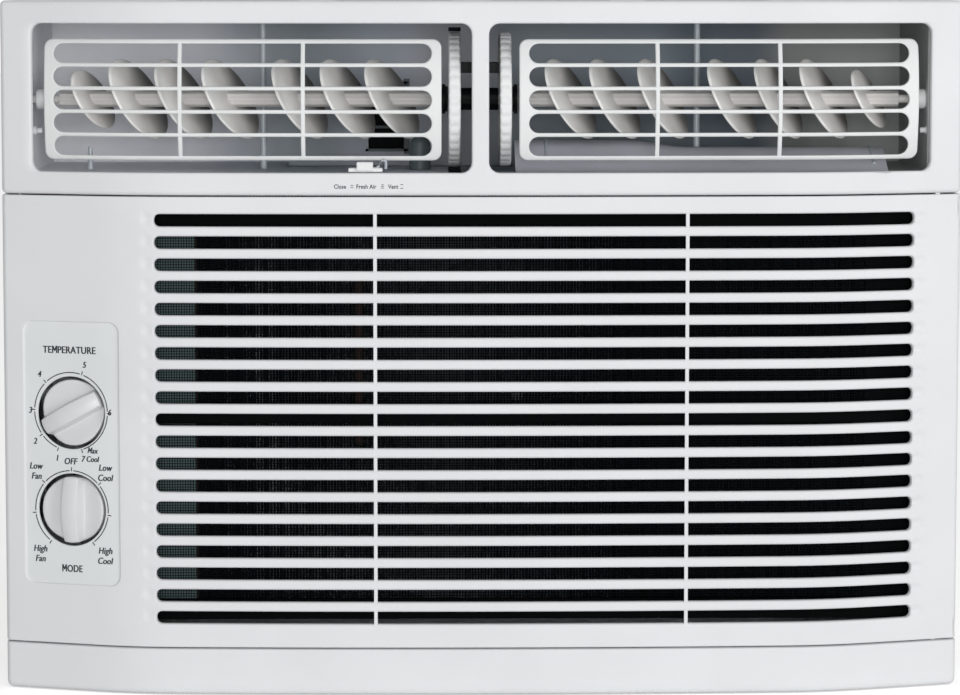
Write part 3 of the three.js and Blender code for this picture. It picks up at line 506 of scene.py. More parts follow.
WHITE = moulded("white_plastic", srgb(226, 227, 229), 0.52, specular=0.22)
LOUVER_WHITE = moulded("louver_plastic", srgb(229, 231, 231), 0.48, specular=0.28)
KNOB_WHITE = moulded("knob_plastic", srgb(222, 223, 224), 0.34, bump=0.02)
OVERLAY = moulded("overlay_film", srgb(226, 230, 230), 0.5, grain=2400)
VANE = moulded("vane_plastic", srgb(244, 243, 241), 0.4)
BLACK = moulded("black_plastic", srgb(20, 22, 25), 0.5, specular=0.2)
DUCT = moulded("duct_plastic_painted_shade", srgb(240, 241, 245), 0.55, mottle=0.03)
# Painted shade: the duct's colour is darkened along x, lightest at the left end, darkest in the right half
# and a little lighter at the right end, standing for the shade deep inside the duct.
paint_shade_along(DUCT, 0, [(x * MM, srgb(*c)) for x, c in (
    (-222, (250, 250, 250)), (-150, (246, 246, 248)), (-122, (212, 216, 220)), (-92, (176, 186, 190)),
    (-50, (200, 206, 214)), (-10, (212, 213, 216)), (20, (162, 172, 178)), (90, (150, 162, 170)),
    (118, (116, 130, 140)), (142, (120, 132, 142)), (165, (176, 178, 174)), (222, (182, 184, 180)))])
# Painted shade: the vanes' colour darkens from front to back along y, standing for the shade on their deeper
# parts.
paint_shade_along(VANE, 1, [(-0.2270, srgb(252, 252, 252)), (-0.2130, srgb(224, 222, 221)),
                     (-0.1950, srgb(116, 113, 111))])
SHADE = moulded("shaded_plastic", srgb(84, 94, 96), 0.5)
LEDGE = moulded("duct_ledge", srgb(186, 187, 196), 0.5, mottle=0.04)
INK = moulded("printed_ink", srgb(40, 48, 56), 0.5, mottle=0.05)
CABINET = moulded("cabinet_paint", srgb(222, 223, 220), 0.42, grain=900, bump=0.12)
ZINC = moulded("galvanised_steel", srgb(176, 180, 182), 0.38, grain=300, bump=0.1, mottle=0.12, metallic=0.85)
COPPER = moulded("copper_tube", srgb(196, 120, 84), 0.32, grain=500, mottle=0.15, metallic=0.95)
FIN = moulded("fin_aluminium", srgb(206, 209, 212), 0.4, grain=600, mottle=0.06, metallic=0.45)
BLACK_STEEL = moulded("black_enamel", srgb(22, 22, 24), 0.35, mottle=0.2)
NET = moulded("filter_net", srgb(9, 15, 17), 0.7, specular=0.08)
RUBBER = moulded("rubber", srgb(30, 30, 31), 0.75, grain=700, bump=0.15)
CLEAR = moulded("milky_plastic", srgb(176, 184, 190), 0.25)
FIN_DARK = moulded("shaded_fin", srgb(30, 36, 42), 0.6, mottle=0.1, specular=0.12)
PITCH = moulded("pitch_black", srgb(7, 9, 10), 0.7, specular=0.06)
COPPER_DULL = moulded("tarnished_copper", srgb(58, 42, 38), 0.6, mottle=0.2, specular=0.15)
FOAM = moulded("side_foam", srgb(104, 124, 124), 0.8, grain=500, bump=0.2)
FAN_GREY = moulded("fan_plastic", srgb(150, 154, 156), 0.5)


# ---- Front mouldings ----------------------------------------------------------------------------
US = PLAN.stations()
SEAM_EDGE = 0.7 * MM


def rows_between(low, high, pitch):
    count = max(1, round((high - low) / pitch))
    return [low + (high - low) * i / count for i in range(1, count)]


def plan_cap(shape, z, inset, flip):
    """A flat face over the front's outline, moved inwards by inset."""
    loop = shape.add([PLAN.place(u, inset, z) for u in [-PLAN.end, *US, PLAN.end]])
    shape.cap(loop, flip)


def top_frame():
    shape = Shape()
    zs = rows_between(TOP_LOW.z, TOP_HIGH.z, 9 * MM)
    boundary = Outline(-PLAN.end, PLAN.end, TOP_LOW.z, TOP_HIGH.z, 0.0, 2.4 * MM, US, zs)
    holes = []
    for side in (-1, 1):
        u0, u1 = sorted((PLAN.at_x(side * OPENING_INNER), PLAN.at_x(side * OPENING_OUTER)))
        ends = (4.5, 1) if side < 0 else (1, 4.5)
        holes.append(Outline(u0, u1, OPENING_BOTTOM, OPENING_TOP, OPENING_R, 1.1 * MM, US, zs, ends))
    pierced_plate(shape, PLAN.place, boundary, holes, WALL, US, zs)
    plan_cap(shape, TOP_HIGH.z, WALL, False)
    plan_cap(shape, TOP_HIGH.z - WALL, WALL, True)
    shape.piece("front_top_moulding", HOUSING, WHITE, ["front_frame"])


def slot_outlines(us):
    edges = []
    for row in range(SLOT_ROWS):
        z = SLOT_FIRST_Z + row * SLOT_PITCH
        half = SLOT_HEIGHT / 2
        u0, u1 = PLAN.at_x(SLOT_LEFT), PLAN.at_x(SLOT_RIGHT)
        edges.append(Outline(u0, u1, z - half, z + half, half * 0.9, 1.2 * MM, us))
    return edges


INSET = {"left": -224.6 * MM, "right": -177.3 * MM, "bottom": 53.1 * MM, "top": 182.9 * MM}


def panel():
    shape = Shape()
    zs = rows_between(PANEL_LOW.z, PANEL_HIGH.z, 10.85 * MM)
    boundary = Outline(-PLAN.end, PLAN.end, PANEL_LOW.z, PANEL_HIGH.z, 0.0, SEAM_EDGE, US, zs)
    holes = slot_outlines(US)
    inset = Outline(PLAN.at_x(INSET["left"]), PLAN.at_x(INSET["right"]), INSET["bottom"], INSET["top"],
                    5 * MM, 0.9 * MM, US, zs)
    filter_slot = Outline(PLAN.end - 49 * MM, PLAN.end - 38.5 * MM, 28 * MM, 240.5 * MM,
                          1.6 * MM, 0.5 * MM, US, zs)
    dimples = []
    for row in range(SLOT_ROWS):
        z = SLOT_FIRST_Z + row * SLOT_PITCH
        dimples.append((PLAN.at_x(SLOT_RIGHT) + 3.0 * MM, z, 1.5 * MM))
        dimples.append((PLAN.at_x(SLOT_LEFT) - 3.2 * MM, z + 0.6 * MM, 0.8 * MM))
    extra = [(u + a * 1.35 * MM, z + b * 1.35 * MM)
             for u, z, _ in dimples for a in range(-3, 4) for b in range(-3, 4)]

    def relief(u, z):
        depth = 0.0
        for cu, cz, deep in dimples:
            r = math.hypot(u - cu, z - cz) / (4.4 * MM)
            if r < 1:
                depth = max(depth, deep * (1 - r * r) ** 2)
        return depth

    pierced_plate(shape, PLAN.place, boundary, [*holes, inset, filter_slot], WALL, US, zs, relief, extra)
    for x in SLOT_RIBS:
        shape.block((x - 0.85 * MM, FRONT_Y + front_depth(x) + 0.35 * MM, 33 * MM),
                    (x + 0.85 * MM, FRONT_Y + front_depth(x) + WALL, 238 * MM))
    shape.piece("intake_moulding", HOUSING, WHITE, ["intake_panel"])


def trim():
    shape = Shape()
    zs = rows_between(TRIM_LOW.z, TRIM_HIGH.z, 6 * MM)
    zs = [3.6 * MM, 5 * MM, *zs]
    boundary = Outline(-PLAN.end, PLAN.end, TRIM_LOW.z, TRIM_HIGH.z, 0.0, 2.6 * MM, US, zs,
                       levels=(1.3, 0.22))
    pierced_plate(shape, PLAN.place, boundary, [], WALL, US, zs)
    shape.piece("trim_moulding", HOUSING, WHITE, ["bottom_trim"])


top_frame()
panel()
trim()

# ---- Louvers ------------------------------------------------------------------------------------
LOUVER = {
    "inner": 18.9 * MM, "outer": 213.3 * MM, "bottom": 262.3 * MM, "top": 321.3 * MM,
    "radius": 4.2 * MM, "slot_inner": 23.7 * MM, "slot_outer": 208.5 * MM, "slot_height": 9.4 * MM,
    "pitch": 11.3 * MM, "thick": 2.5 * MM, "recess": 1 * MM, "sag": 7 * MM,
    "half": 29.5 * MM, "middle": 291.8 * MM,
}
LOUVER_RIBS = (86.2 * MM, 146.1 * MM)


def louver_place(u, w, z):
    sag = LOUVER["sag"] * ((z - LOUVER["middle"]) / LOUVER["half"]) ** 2
    return (u + right_stretch(u), FRONT_Y + front_depth(u) + LOUVER["recess"] + sag + w, z)


def arm(shape, x0, x1):
    """An end arm of a louver: from the face back to a round eye on the pivot."""
    outline = []
    for i in range(9):
        z = LOUVER["middle"] - 21 * MM + 42 * MM * i / 8
        face = louver_place(x0, LOUVER["thick"] - 0.6 * MM, z)
        outline.append((face[1], z))
    for i in range(13):
        a = math.pi / 2 - math.pi * i / 12
        outline.append((PIVOT_Y + 6 * MM * math.cos(a), PIVOT_Z + 6 * MM * math.sin(a)))
    near = shape.add([(x0, y, z) for y, z in outline])
    far = shape.add([(x1, y, z) for y, z in outline])
    shape.cap(near)
    shape.cap(far, True)
    shape.strip(near, far)


def louver(side, name, body):
    shape = Shape()
    u0, u1 = sorted((side * LOUVER["inner"], side * LOUVER["outer"]))
    us = sorted(side * x * MM for x in range(24, 212, 6))
    zs = rows_between(LOUVER["bottom"], LOUVER["top"], 2.4 * MM)
    boundary = Outline(u0, u1, LOUVER["bottom"], LOUVER["top"], LOUVER["radius"], 0.8 * MM, us, zs)
    s0, s1 = sorted((side * LOUVER["slot_inner"], side * LOUVER["slot_outer"]))
    holes = []
    for row in range(-2, 3):
        z = LOUVER["middle"] + row * LOUVER["pitch"]
        half = LOUVER["slot_height"] / 2
        holes.append(Outline(s0, s1, z - half, z + half, half - 0.05 * MM, 0.7 * MM, us))
    pierced_plate(shape, louver_place, boundary, holes, LOUVER["thick"], us, zs)
    for x in LOUVER_RIBS:
        bar(shape, side * x, 2.1 * MM)
    inner, outer = sorted((side * 19.2 * MM, side * 21.5 * MM))
    arm(shape, inner, outer)
    extra = right_stretch(side * 213 * MM)
    inner, outer = sorted((side * 210.3 * MM + extra, side * 213 * MM + extra))
    arm(shape, inner, outer)
    shape.lathe([(0, 0), (0, 4.9 * MM), (4.7 * MM, 4.9 * MM), (5.3 * MM, 4.4 * MM), (5.3 * MM, 0)],
                (side * 213 * MM + extra, PIVOT_Y, PIVOT_Z), (side, 0, 0), 32)
    shape.piece(name, body, LOUVER_WHITE, [name.replace("_grille", "")])


def bar(shape, x, width):
    """An upright rib with rounded front edges that follows the louver's sag."""
    half, round_off = width / 2, 0.5 * MM
    section = [(-half, 2.2 * MM), (-half, 0.12 * MM + round_off)]
    section += [(-half + round_off * (1 - math.cos(a)), 0.12 * MM + round_off * (1 - math.sin(a)))
                for a in (math.pi / 6, math.pi / 3, math.pi / 2)]
    section += [(-u, w) for u, w in reversed(section)]
    rows = []
    low, high = LOUVER["bottom"] + 1 * MM, LOUVER["top"] - 1 * MM
    for i in range(25):
        z = low + (high - low) * i / 24
        rows.append(shape.add([louver_place(x + u, w, z) for u, w in section]))
    shape.cap(rows[0])
    shape.cap(rows[-1], True)
    shape.skin(rows)


louver(-1, "louver_left_grille", "louver_left_body")
louver(1, "louver_right_grille", "louver_right_body")

# ---- Vane shafts, thumbwheels and collars -------------------------------------------------------
VANE_X = (44.2, 66, 89.6, 123.9, 146.9, 169.2, 191.5)
VANE_R = 19.7 * MM
SMALL_VANE_R = 14.4 * MM
VANE_THICK = 1.7 * MM
LEAN_Y = 0.475
LEAN_Z = -0.46
SHAFT_R = 3.85 * MM


def vane(shape, x, radius):
    """A leaning disc whose plane crosses the shaft at a slant, with a rounded rim."""
    profile = [(SHAFT_R * 0.5, -VANE_THICK * 0.62), (radius * 0.55, -VANE_THICK * 0.56)]
    rim = VANE_THICK / 2
    for i in range(9):
        a = -math.pi / 2 + math.pi * i / 8
        profile.append((radius - rim + rim * math.cos(a), rim * math.sin(a)))
    profile += [(radius * 0.55, VANE_THICK * 0.56), (SHAFT_R * 0.5, VANE_THICK * 0.62)]
    rows = []
    turns = 72
    for r, across in profile:
        ring = []
        for i in range(turns):
            a = 2 * math.pi * i / turns
            dy, dz = r * math.cos(a), r * math.sin(a)
            ring.append((x + across + LEAN_Y * dy + LEAN_Z * dz, PIVOT_Y + dy, PIVOT_Z + dz))
        rows.append(shape.add(ring))
    shape.skin(rows)
    shape.strip(rows[-1], rows[0])


def ribbed_shaft(shape, x0, x1):
    """The shaft has eight shallow flutes along it."""
    turns = 72
    rows = []
    for x, scale in ((x0, 0.93), (x0 + 0.4 * MM, 1.0), (x1 - 0.4 * MM, 1.0), (x1, 0.93)):
        ring = []
        for i in range(turns):
            a = 2 * math.pi * i / turns
            r = scale * (SHAFT_R - 0.42 * MM * (0.5 - 0.5 * math.cos(8 * a)) ** 0.6)
            ring.append((x, PIVOT_Y + r * math.cos(a), PIVOT_Z + r * math.sin(a)))
        rows.append(shape.add(ring))
    shape.skin(rows)
    shape.cap(rows[0], True)
    shape.cap(rows[-1])


def vane_set(side, name, body):
    shape = Shape()
    x0, x1 = sorted((side * 0.9 * MM, side * 207 * MM))
    ribbed_shaft(shape, x0, x1)
    shape.lathe([(0, 0), (0, 2 * MM), (17.6 * MM, 2 * MM), (18 * MM, 1.6 * MM), (18 * MM, 0)],
                (side * 207 * MM, PIVOT_Y, PIVOT_Z), (side, 0, 0), 32)
    for x in VANE_X:
        vane(shape, (side * x + 0.9) * MM, SMALL_VANE_R if x == VANE_X[-1] else VANE_R)
    shape.piece(name, body, VANE, [name.replace("_discs", "")])


def thumbwheel(side, name, body):
    """A white wheel with fine rounded teeth and a thinner web."""
    shape = Shape()
    turns, teeth = 480, 40
    outer, tooth = 32.9 * MM, 0.42 * MM
    rim_in = 27.6 * MM
    x0, x1 = 9.5 * MM, 15.4 * MM
    middle = (x0 + x1) / 2
    profile = [(middle - 1 * MM, 3.9 * MM, 0), (middle - 1 * MM, rim_in, 0), (x0, rim_in + 0.3 * MM, 0),
               (x0, outer - 1.2 * MM, 0), (x0 + 0.3 * MM, outer - 0.5 * MM, 0.6), (x0 + 0.8 * MM, outer, 1),
               (x1 - 0.8 * MM, outer, 1), (x1 - 0.3 * MM, outer - 0.5 * MM, 0.6), (x1, outer - 1.2 * MM, 0),
               (x1, rim_in + 0.3 * MM, 0), (middle + 1 * MM, rim_in, 0), (middle + 1 * MM, 3.9 * MM, 0)]
    rows = []
    for x, radius, depth in profile:
        ring = []
        for i in range(turns):
            a = 2 * math.pi * i / turns
            r = radius - depth * tooth * (0.5 - 0.5 * math.cos(teeth * a)) ** 1.6
            ring.append((side * x, PIVOT_Y + r * math.cos(a), PIVOT_Z + r * math.sin(a)))
        rows.append(shape.add(ring))
    shape.skin(rows)
    shape.strip(rows[-1], rows[0])
    shape.piece(name, body, LOUVER_WHITE, [name.replace("_toothed", "")])


def collar(side, name, body):
    shape = Shape()
    profile = [(0, SHAFT_R), (0, 6 * MM), (0.3 * MM, 6.3 * MM), (1.1 * MM, 6.3 * MM), (1.2 * MM, 7 * MM),
               (1.5 * MM, 7.3 * MM), (2.6 * MM, 7.3 * MM), (2.9 * MM, 7 * MM), (2.9 * MM, SHAFT_R)]
    shape.lathe(profile, (side * 15.7 * MM, PIVOT_Y, PIVOT_Z), (side, 0, 0), 48)
    shape.piece(name, body, BLACK, [name.replace("_stepped", "")])


for SIDE, SIDE_NAME in ((-1, "left"), (1, "right")):
    vane_set(SIDE, "vane_shaft_%s_discs" % SIDE_NAME, "vanes_%s" % SIDE_NAME)
    thumbwheel(SIDE, "thumbwheel_%s_toothed" % SIDE_NAME, "vanes_%s" % SIDE_NAME)
    collar(SIDE, "friction_collar_%s_stepped" % SIDE_NAME, "vanes_%s" % SIDE_NAME)

# ---- Controls -----------------------------------------------------------------------------------
PLATE_W = 1.0 * MM


def control_plate():
    shape = Shape()
    us = [PLAN.at_x(x * MM) for x in range(-222, -176, 4)]
    zs = rows_between(INSET["bottom"], INSET["top"], 5 * MM)
    gap = -0.5 * MM
    boundary = Outline(PLAN.at_x(INSET["left"]) + gap, PLAN.at_x(INSET["right"]) - gap,
                       INSET["bottom"] + gap, INSET["top"] - gap, 4.8 * MM, 0.3 * MM, us, zs)
    holes = [Circle(PLAN.at_x(KNOB_X), z, KNOB_HOLE_R, 0.5 * MM) for z in KNOB_Z.values()]

    def place(u, w, z):
        return PLAN.place(u, PLATE_W + w, z)

    pierced_plate(shape, place, boundary, holes, 1.4 * MM, us, zs)
    shape.piece("control_overlay", HOUSING, OVERLAY, ["control_plate"])


def knob(name, body, z, turn, node):
    """A round cap with a full-width grip bar between two scoops, built as a height field over the disc."""
    radius = KNOB_R
    bar_half, draft = 3.9 * MM, 1.7 * MM
    across = sorted({round(v, 6) for v in
                     [*(radius * math.sin(math.pi / 2 * i / 14) for i in range(-14, 15)),
                      *(k * 0.0003 for k in range(-24, 25))]})

    def height(u, v):
        r = math.hypot(u, v) / radius
        scoop = 2.5 * MM * (1 - smoothstep(bar_half, radius, abs(v)))
        base = 0.9 * MM - scoop + 0.5 * MM * (1 - r * r)
        half = bar_half - 0.5 * MM * (abs(u) / radius) ** 2
        bar_top = 6.4 * MM - 3.2 * MM * (abs(u) / radius) ** 2.2 - 0.5 * MM * (v / half) ** 2
        rise = 1 - smoothstep(half, half + draft, abs(v))
        h = base + (bar_top - base) * rise
        edge = max(0.0, (r - 0.94) / 0.06)
        return h - 0.9 * MM * (1 - math.sqrt(max(0.0, 1 - edge * edge))) - 2.9 * MM

    shape = Shape()
    steps = 44
    rows = []
    for v in across:
        reach = math.sqrt(max(0.0, radius * radius - v * v))
        row = []
        for i in range(steps + 1):
            u = reach * math.sin(math.pi / 2 * (2 * i / steps - 1))
            row.append((u, v, height(u, v)))
        rows.append(shape.add(row))
    for a, b in zip(rows, rows[1:]):
        for i in range(steps):
            shape.face(a[i], a[i + 1], b[i + 1], b[i])
    rim = rows[0] + [r[-1] for r in rows[1:-1]]
    rim += list(reversed(rows[-1])) + [r[0] for r in reversed(rows[1:-1])]
    skirt = shape.add([(*shape.verts[i][:2], -7 * MM) for i in rim])
    floor_ring = shape.add([(shape.verts[i][0] * 0.8, shape.verts[i][1] * 0.8, -7.6 * MM) for i in rim])
    shape.strip(rim, skirt)
    shape.strip(skirt, floor_ring)
    shape.cap(floor_ring)
    wing = Matrix.Rotation(-WING_ANGLE, 4, "Z")
    facing = Matrix(((1, 0, 0, 0), (0, 0, -1, 0), (0, 1, 0, 0), (0, 0, 0, 1)))
    twist = Matrix.Rotation(math.radians(90 - turn), 4, "Z")
    centre = Vector((KNOB_X, FRONT_Y + front_depth(KNOB_X), z))
    shape.moved(Matrix.Translation(centre) @ wing @ facing @ twist)
    shape.piece(name, body, KNOB_WHITE, [node], sharp=50, weld=1e-6)


control_plate()
knob("temp_knob_grip", "temp_dial", KNOB_Z["temp"], 62, "temp_knob")
knob("mode_knob_grip", "mode_dial", KNOB_Z["mode"], 0, "mode_knob")


# ---- Printed legends ----------------------------------------------------------------------------
PRINT_LIFT = 0.06 * MM


def open_m(height, lean, width):
    """A capital M with thin strokes, so it stays legible at this size."""
    w, t = 0.8 * height * width, 0.13 * height * width
    dip, middle = 0.3 * height, 0.4 * height * width
    flat = [(0, 0), (t, 0), (t, height), (0, height), (w - t, 0), (w, 0), (w, height), (w - t, height),
            (0, height), (middle - t * 0.55, dip), (middle + t * 0.55, dip), (t * 1.2, height),
            (w - t * 1.2, height), (middle - t * 0.55, dip), (middle + t * 0.55, dip), (w, height)]
    faces = [tuple(range(i, i + 4)) for i in (0, 4, 8, 12)]
    return [(x + lean * y, y) for x, y in flat], faces


def text_outline(words, height, lean, width, heavy):
    """Generic lettering as flat faces in (across, up), with the baseline at 0."""
    if words == "M":
        return open_m(height, lean, width)
    if "M" in words:
        before, after = words.split("M", 1)
        points, faces, x = [], [], 0.0
        for part in (before, "M", after):
            if part:
                more, corners = text_outline(part, height, lean, width, heavy)
                shift = x - min(px - lean * py for px, py in more)
                faces += [tuple(i + len(points) for i in face) for face in corners]
                points += [(px + shift, py) for px, py in more]
                x = max(px - lean * py for px, py in points) + 0.15 * height * width
        return points, faces
    curve = bpy.data.curves.new("lettering", "FONT")
    curve.body = words
    curve.size = height / 0.73
    curve.shear = lean
    curve.offset = heavy
    curve.resolution_u = 4
    curve.space_character = 1.04
    carrier = bpy.data.objects.new("lettering", curve)
    bpy.context.scene.collection.objects.link(carrier)
    bpy.context.view_layer.update()
    evaluated = carrier.evaluated_get(bpy.context.evaluated_depsgraph_get())
    mesh = evaluated.to_mesh()
    points = [(v.co.x * width, v.co.y) for v in mesh.vertices]
    faces = [tuple(p.vertices) for p in mesh.polygons]
    evaluated.to_mesh_clear()
    bpy.data.objects.remove(carrier)
    bpy.data.curves.remove(curve)
    return points, faces


def print_words(shape, words, x, z, height, place, lean=0.0, width=0.72, heavy=0.012, lift=PRINT_LIFT):
    """Lettering centred on (x, z) and laid on a curved plate."""
    points, faces = text_outline(words, height, lean, width, heavy * height)
    low, high = min(p[0] for p in points), max(p[0] for p in points)
    shift_u, shift_z = PLAN.at_x(x) - (low + high) / 2, z - height / 2
    ids = shape.add([place(u + shift_u, -lift, v + shift_z) for u, v in points])
    for face in faces:
        shape.face(*(ids[i] for i in face))


def print_bold(shape, words, x, z, height, place, lean=0.0, width=0.72):
    """Two passes a hair apart, so the strokes thicken but the letters stay open."""
    for k, shift in enumerate((-0.14 * MM, 0.14 * MM)):
        lift = (0.06 + 0.012 * k) * MM
        print_words(shape, words, x + shift, z, height, place, lean, width, heavy=0.006, lift=lift)


def print_ring(shape, z, radius, width, start, end, place):
    """A printed arc round a knob, angles clockwise from the top."""
    steps = max(2, int(abs(end - start) / 2.5))
    middle = PLAN.at_x(KNOB_X)
    rows = []
    for i in range(steps + 1):
        a = math.radians(start + (end - start) * i / steps)
        rows.append(shape.add([place(middle + r * math.sin(a), -PRINT_LIFT, z + r * math.cos(a))
                               for r in (radius - width / 2, radius + width / 2)]))
    for a, b in zip(rows, rows[1:]):
        shape.face(a[0], a[1], b[1], b[0])


def print_tick(shape, z, angle, inner, outer, width, place):
    middle = PLAN.at_x(KNOB_X)
    a = math.radians(angle)
    along, side = (math.sin(a), math.cos(a)), (math.cos(a) * width / 2, -math.sin(a) * width / 2)
    ids = shape.add([place(middle + r * along[0] + s * side[0], -PRINT_LIFT, z + r * along[1] + s * side[1])
                     for r, s in ((inner, -1), (inner, 1), (outer, 1), (outer, -1))])
    shape.face(*ids)


def print_scale(shape, z, marks, place):
    """Arcs round a knob, broken at each mark, and a tick at each mark."""
    radius, width = 19.4 * MM, 0.5 * MM
    for start, end in zip(marks, marks[1:]):
        print_ring(shape, z, radius, width, start + 3, end - 3, place)
    for mark in marks:
        print_tick(shape, z, mark, radius - 0.3 * MM, radius + 1.7 * MM, width, place)


def control_legends():
    def plate(u, w, z):
        return PLAN.place(u, PLATE_W + w, z)

    shape = Shape()
    print_bold(shape, "TEMPERATURE", -202.1 * MM, 169.2 * MM, 3.6 * MM, plate, width=0.855)
    print_bold(shape, "MODE", -201.5 * MM, 60.9 * MM, 3.6 * MM, plate, width=0.79)
    numbers = {"5": (-194.4, 162.1), "4": (-217.2, 156.9), "3": (-222.0, 138.9), "2": (-219.7, 123.6),
               "1": (-208.5, 115.6), "7": (-195.3, 115.6), "6": (-181.9, 139.0)}
    for words, (x, z) in numbers.items():
        print_bold(shape, words, x * MM, z * MM, 3.1 * MM, plate, lean=0.2, width=0.85)
    names = (("OFF", -201.6, 114.2), ("Low", -219.3, 111.3),
             ("Fan", -219.2, 106.3), ("Low", -184.2, 111.6), ("Cool", -184.2, 106.6), ("High", -217.6, 70.3),
             ("Fan", -217.6, 65.3), ("High", -184.6, 70.5), ("Cool", -184.6, 65.4))
    for words, x, z in names:
        print_bold(shape, words, x * MM, z * MM, 3.3 * MM, plate, lean=0.2, width=0.84)
    for words, x, z in (("Max", -190.6, 119.8), ("Cool", -190.6, 115.6)):
        print_bold(shape, words, x * MM, z * MM, 2.9 * MM, plate, lean=0.2, width=0.8)
    print_scale(shape, KNOB_Z["temp"] + 0.6 * MM, (200.7, 233, 271.4, 316.7, 377.7, 451, 523.3), plate)
    print_scale(shape, KNOB_Z["mode"], (-145, -96, -48, 0, 48, 96, 145), plate)
    shape.piece("control_legends", HOUSING, INK, weighted=False)


def vent_legend():
    shape = Shape()
    for words, x in (("Close", -68.2), ("Fresh Air", -55.4), ("Vent", -42.4)):
        print_words(shape, words, x * MM, 250.1 * MM, 2.1 * MM, PLAN.place, width=0.86, heavy=0.03)
    for x, levels in ((-62.4, (249.6, 250.6)), (-47.6, (249.3, 250.1, 250.9)), (-38.2, (249.2, 251))):
        for level in levels:
            flat, z = 0.7 * MM, level * MM
            ids = shape.add([PLAN.place(PLAN.at_x(x * MM) + s * flat, -PRINT_LIFT, z + t * 0.16 * MM)
                             for s, t in ((-1, -1), (1, -1), (1, 1), (-1, 1))])
            shape.face(*ids)
    shape.piece("vent_legend", HOUSING, INK, weighted=False)


control_legends()
vent_legend()


# ---- Vent lever ---------------------------------------------------------------------------------
def bent_rod(shape, points, radius, sides=10):
    """A round rod through points, with its cross-sections square to the path and flat ends."""
    points = [Vector(p) for p in points]
    rows = []
    for i, p in enumerate(points):
        tangent = (points[min(i + 1, len(points) - 1)] - points[max(i - 1, 0)]).normalized()
        side, up = perpendicular(tangent)
        turns = [2 * math.pi * k / sides for k in range(sides)]
        rows.append(shape.add([p + (side * math.cos(a) + up * math.sin(a)) * radius for a in turns]))
    shape.skin(rows)
    shape.cap(rows[0], True)
    shape.cap(rows[-1])


def vent_lever():
    """A low slider with a square grip, and a small hook beside it that holds the wire to the vent door."""
    shape = Shape()
    shape.block((-64.2 * MM, -244 * MM, 257 * MM), (-47.6 * MM, -236 * MM, 258.9 * MM))
    shape.block((-60.2 * MM, -245.6 * MM, 257.6 * MM), (-52.2 * MM, -241 * MM, 261.9 * MM))
    shape.block((-57.4 * MM, -238 * MM, 248.6 * MM), (-54.4 * MM, -206 * MM, 250.9 * MM))
    shape.block((-57.4 * MM, -240.5 * MM, 248.6 * MM), (-54.4 * MM, -237 * MM, 258.5 * MM))
    obj = shape.piece("vent_lever_slider", "vent_slider", LOUVER_WHITE, ["vent_lever"])
    bevel = obj.modifiers.new("edge", "BEVEL")
    bevel.width = 0.5 * MM
    bevel.segments = 3
    bevel.limit_method = "ANGLE"
    obj.modifiers.move(1, 0)
    hook = Shape()
    arc = [(-0.0522, -0.2425, 0.2585), (-0.0505, -0.2425, 0.2588), (-0.0492, -0.2425, 0.2598),
           (-0.0486, -0.2425, 0.2611), (-0.0482, -0.2425, 0.2623), (-0.0471, -0.2424, 0.2628),
           (-0.0461, -0.242, 0.2621), (-0.0459, -0.2416, 0.2606), (-0.0461, -0.2412, 0.2585)]
    bent_rod(hook, arc, 0.75 * MM)
    hook.piece("vent_lever_hook", "vent_slider", CLEAR)


vent_lever()

# ---- Filter net and coils -----------------------------------------------------------------------
def strands(shape, low, high, pitch, width, along_x):
    """Flat woven strands in a plane of constant y, one way."""
    reach = (low.z, high.z) if along_x else (low.x, high.x)
    count = int((reach[1] - reach[0]) / pitch)
    for i in range(1, count):
        at = reach[0] + (reach[1] - reach[0]) * i / count
        if along_x:
            shape.block((low.x, low.y, at - width / 2), (high.x, low.y + 0.3 * MM, at + width / 2))
        else:
            shape.block((at - width / 2, low.y + 0.25 * MM, low.z),
                        (at + width / 2, low.y + 0.55 * MM, high.z))


def filter_net():
    low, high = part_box("filter_mesh")
    shape = Shape()
    strands(shape, low, high, 1.3 * MM, 0.32 * MM, True)
    strands(shape, low, high, 1.3 * MM, 0.32 * MM, False)
    rim = 1.6 * MM
    shape.block((low.x, low.y, low.z), (high.x, high.y, low.z + rim))
    shape.block((low.x, low.y, high.z - rim), (high.x, high.y, high.z))
    shape.block((low.x, low.y, low.z), (low.x + rim, high.y, high.z))
    shape.block((high.x - rim, low.y, low.z), (high.x, high.y, high.z))
    shape.piece("filter_woven_net", "filter", NET, ["filter_mesh"], weighted=False)


def fin_pack(node, name, pitch, thick, material):
    """Thin upright plates, each with a slightly wavy front edge."""
    low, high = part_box(node)
    shape = Shape()
    count = int((high.x - low.x) / pitch)
    rng = random.Random(11)
    for i in range(count + 1):
        x = low.x + thick / 2 + (high.x - low.x - thick) * i / count
        lean = rng.uniform(-0.12, 0.12) * MM
        nudge = rng.uniform(0, 0.25) * MM
        rows = []
        for k in range(5):
            z = low.z + (high.z - low.z) * k / 4
            bend = lean * math.sin(math.pi * k / 4)
            left, right = x - thick / 2, x + thick / 2
            near, far = low.y + nudge, high.y - nudge
            rows.append(shape.add([(left + bend, near, z), (right + bend, near, z),
                                   (right - bend, far, z), (left - bend, far, z)]))
        shape.cap(rows[0], True)
        shape.cap(rows[-1])
        shape.skin(rows)
    shape.piece(name, HOUSING, material, [node], weighted=False)


filter_net()
fin_pack("evaporator_fins", "evaporator_fin_pack", 1.6 * MM, 0.18 * MM, FIN_DARK)
fin_pack("condenser_fins", "condenser_fin_pack", 2.0 * MM, 0.2 * MM, FIN)


# ---- Cabinet details ----------------------------------------------------------------------------
CABINET_LOW, CABINET_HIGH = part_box("cabinet_wrap")


def grid_rim(rows):
    """The vertex ids round the edge of a grid, starting down its first column."""
    down, along = [r[0] for r in rows], rows[-1][1:]
    return down + along + [r[-1] for r in reversed(rows[:-1])] + rows[0][-2:0:-1]


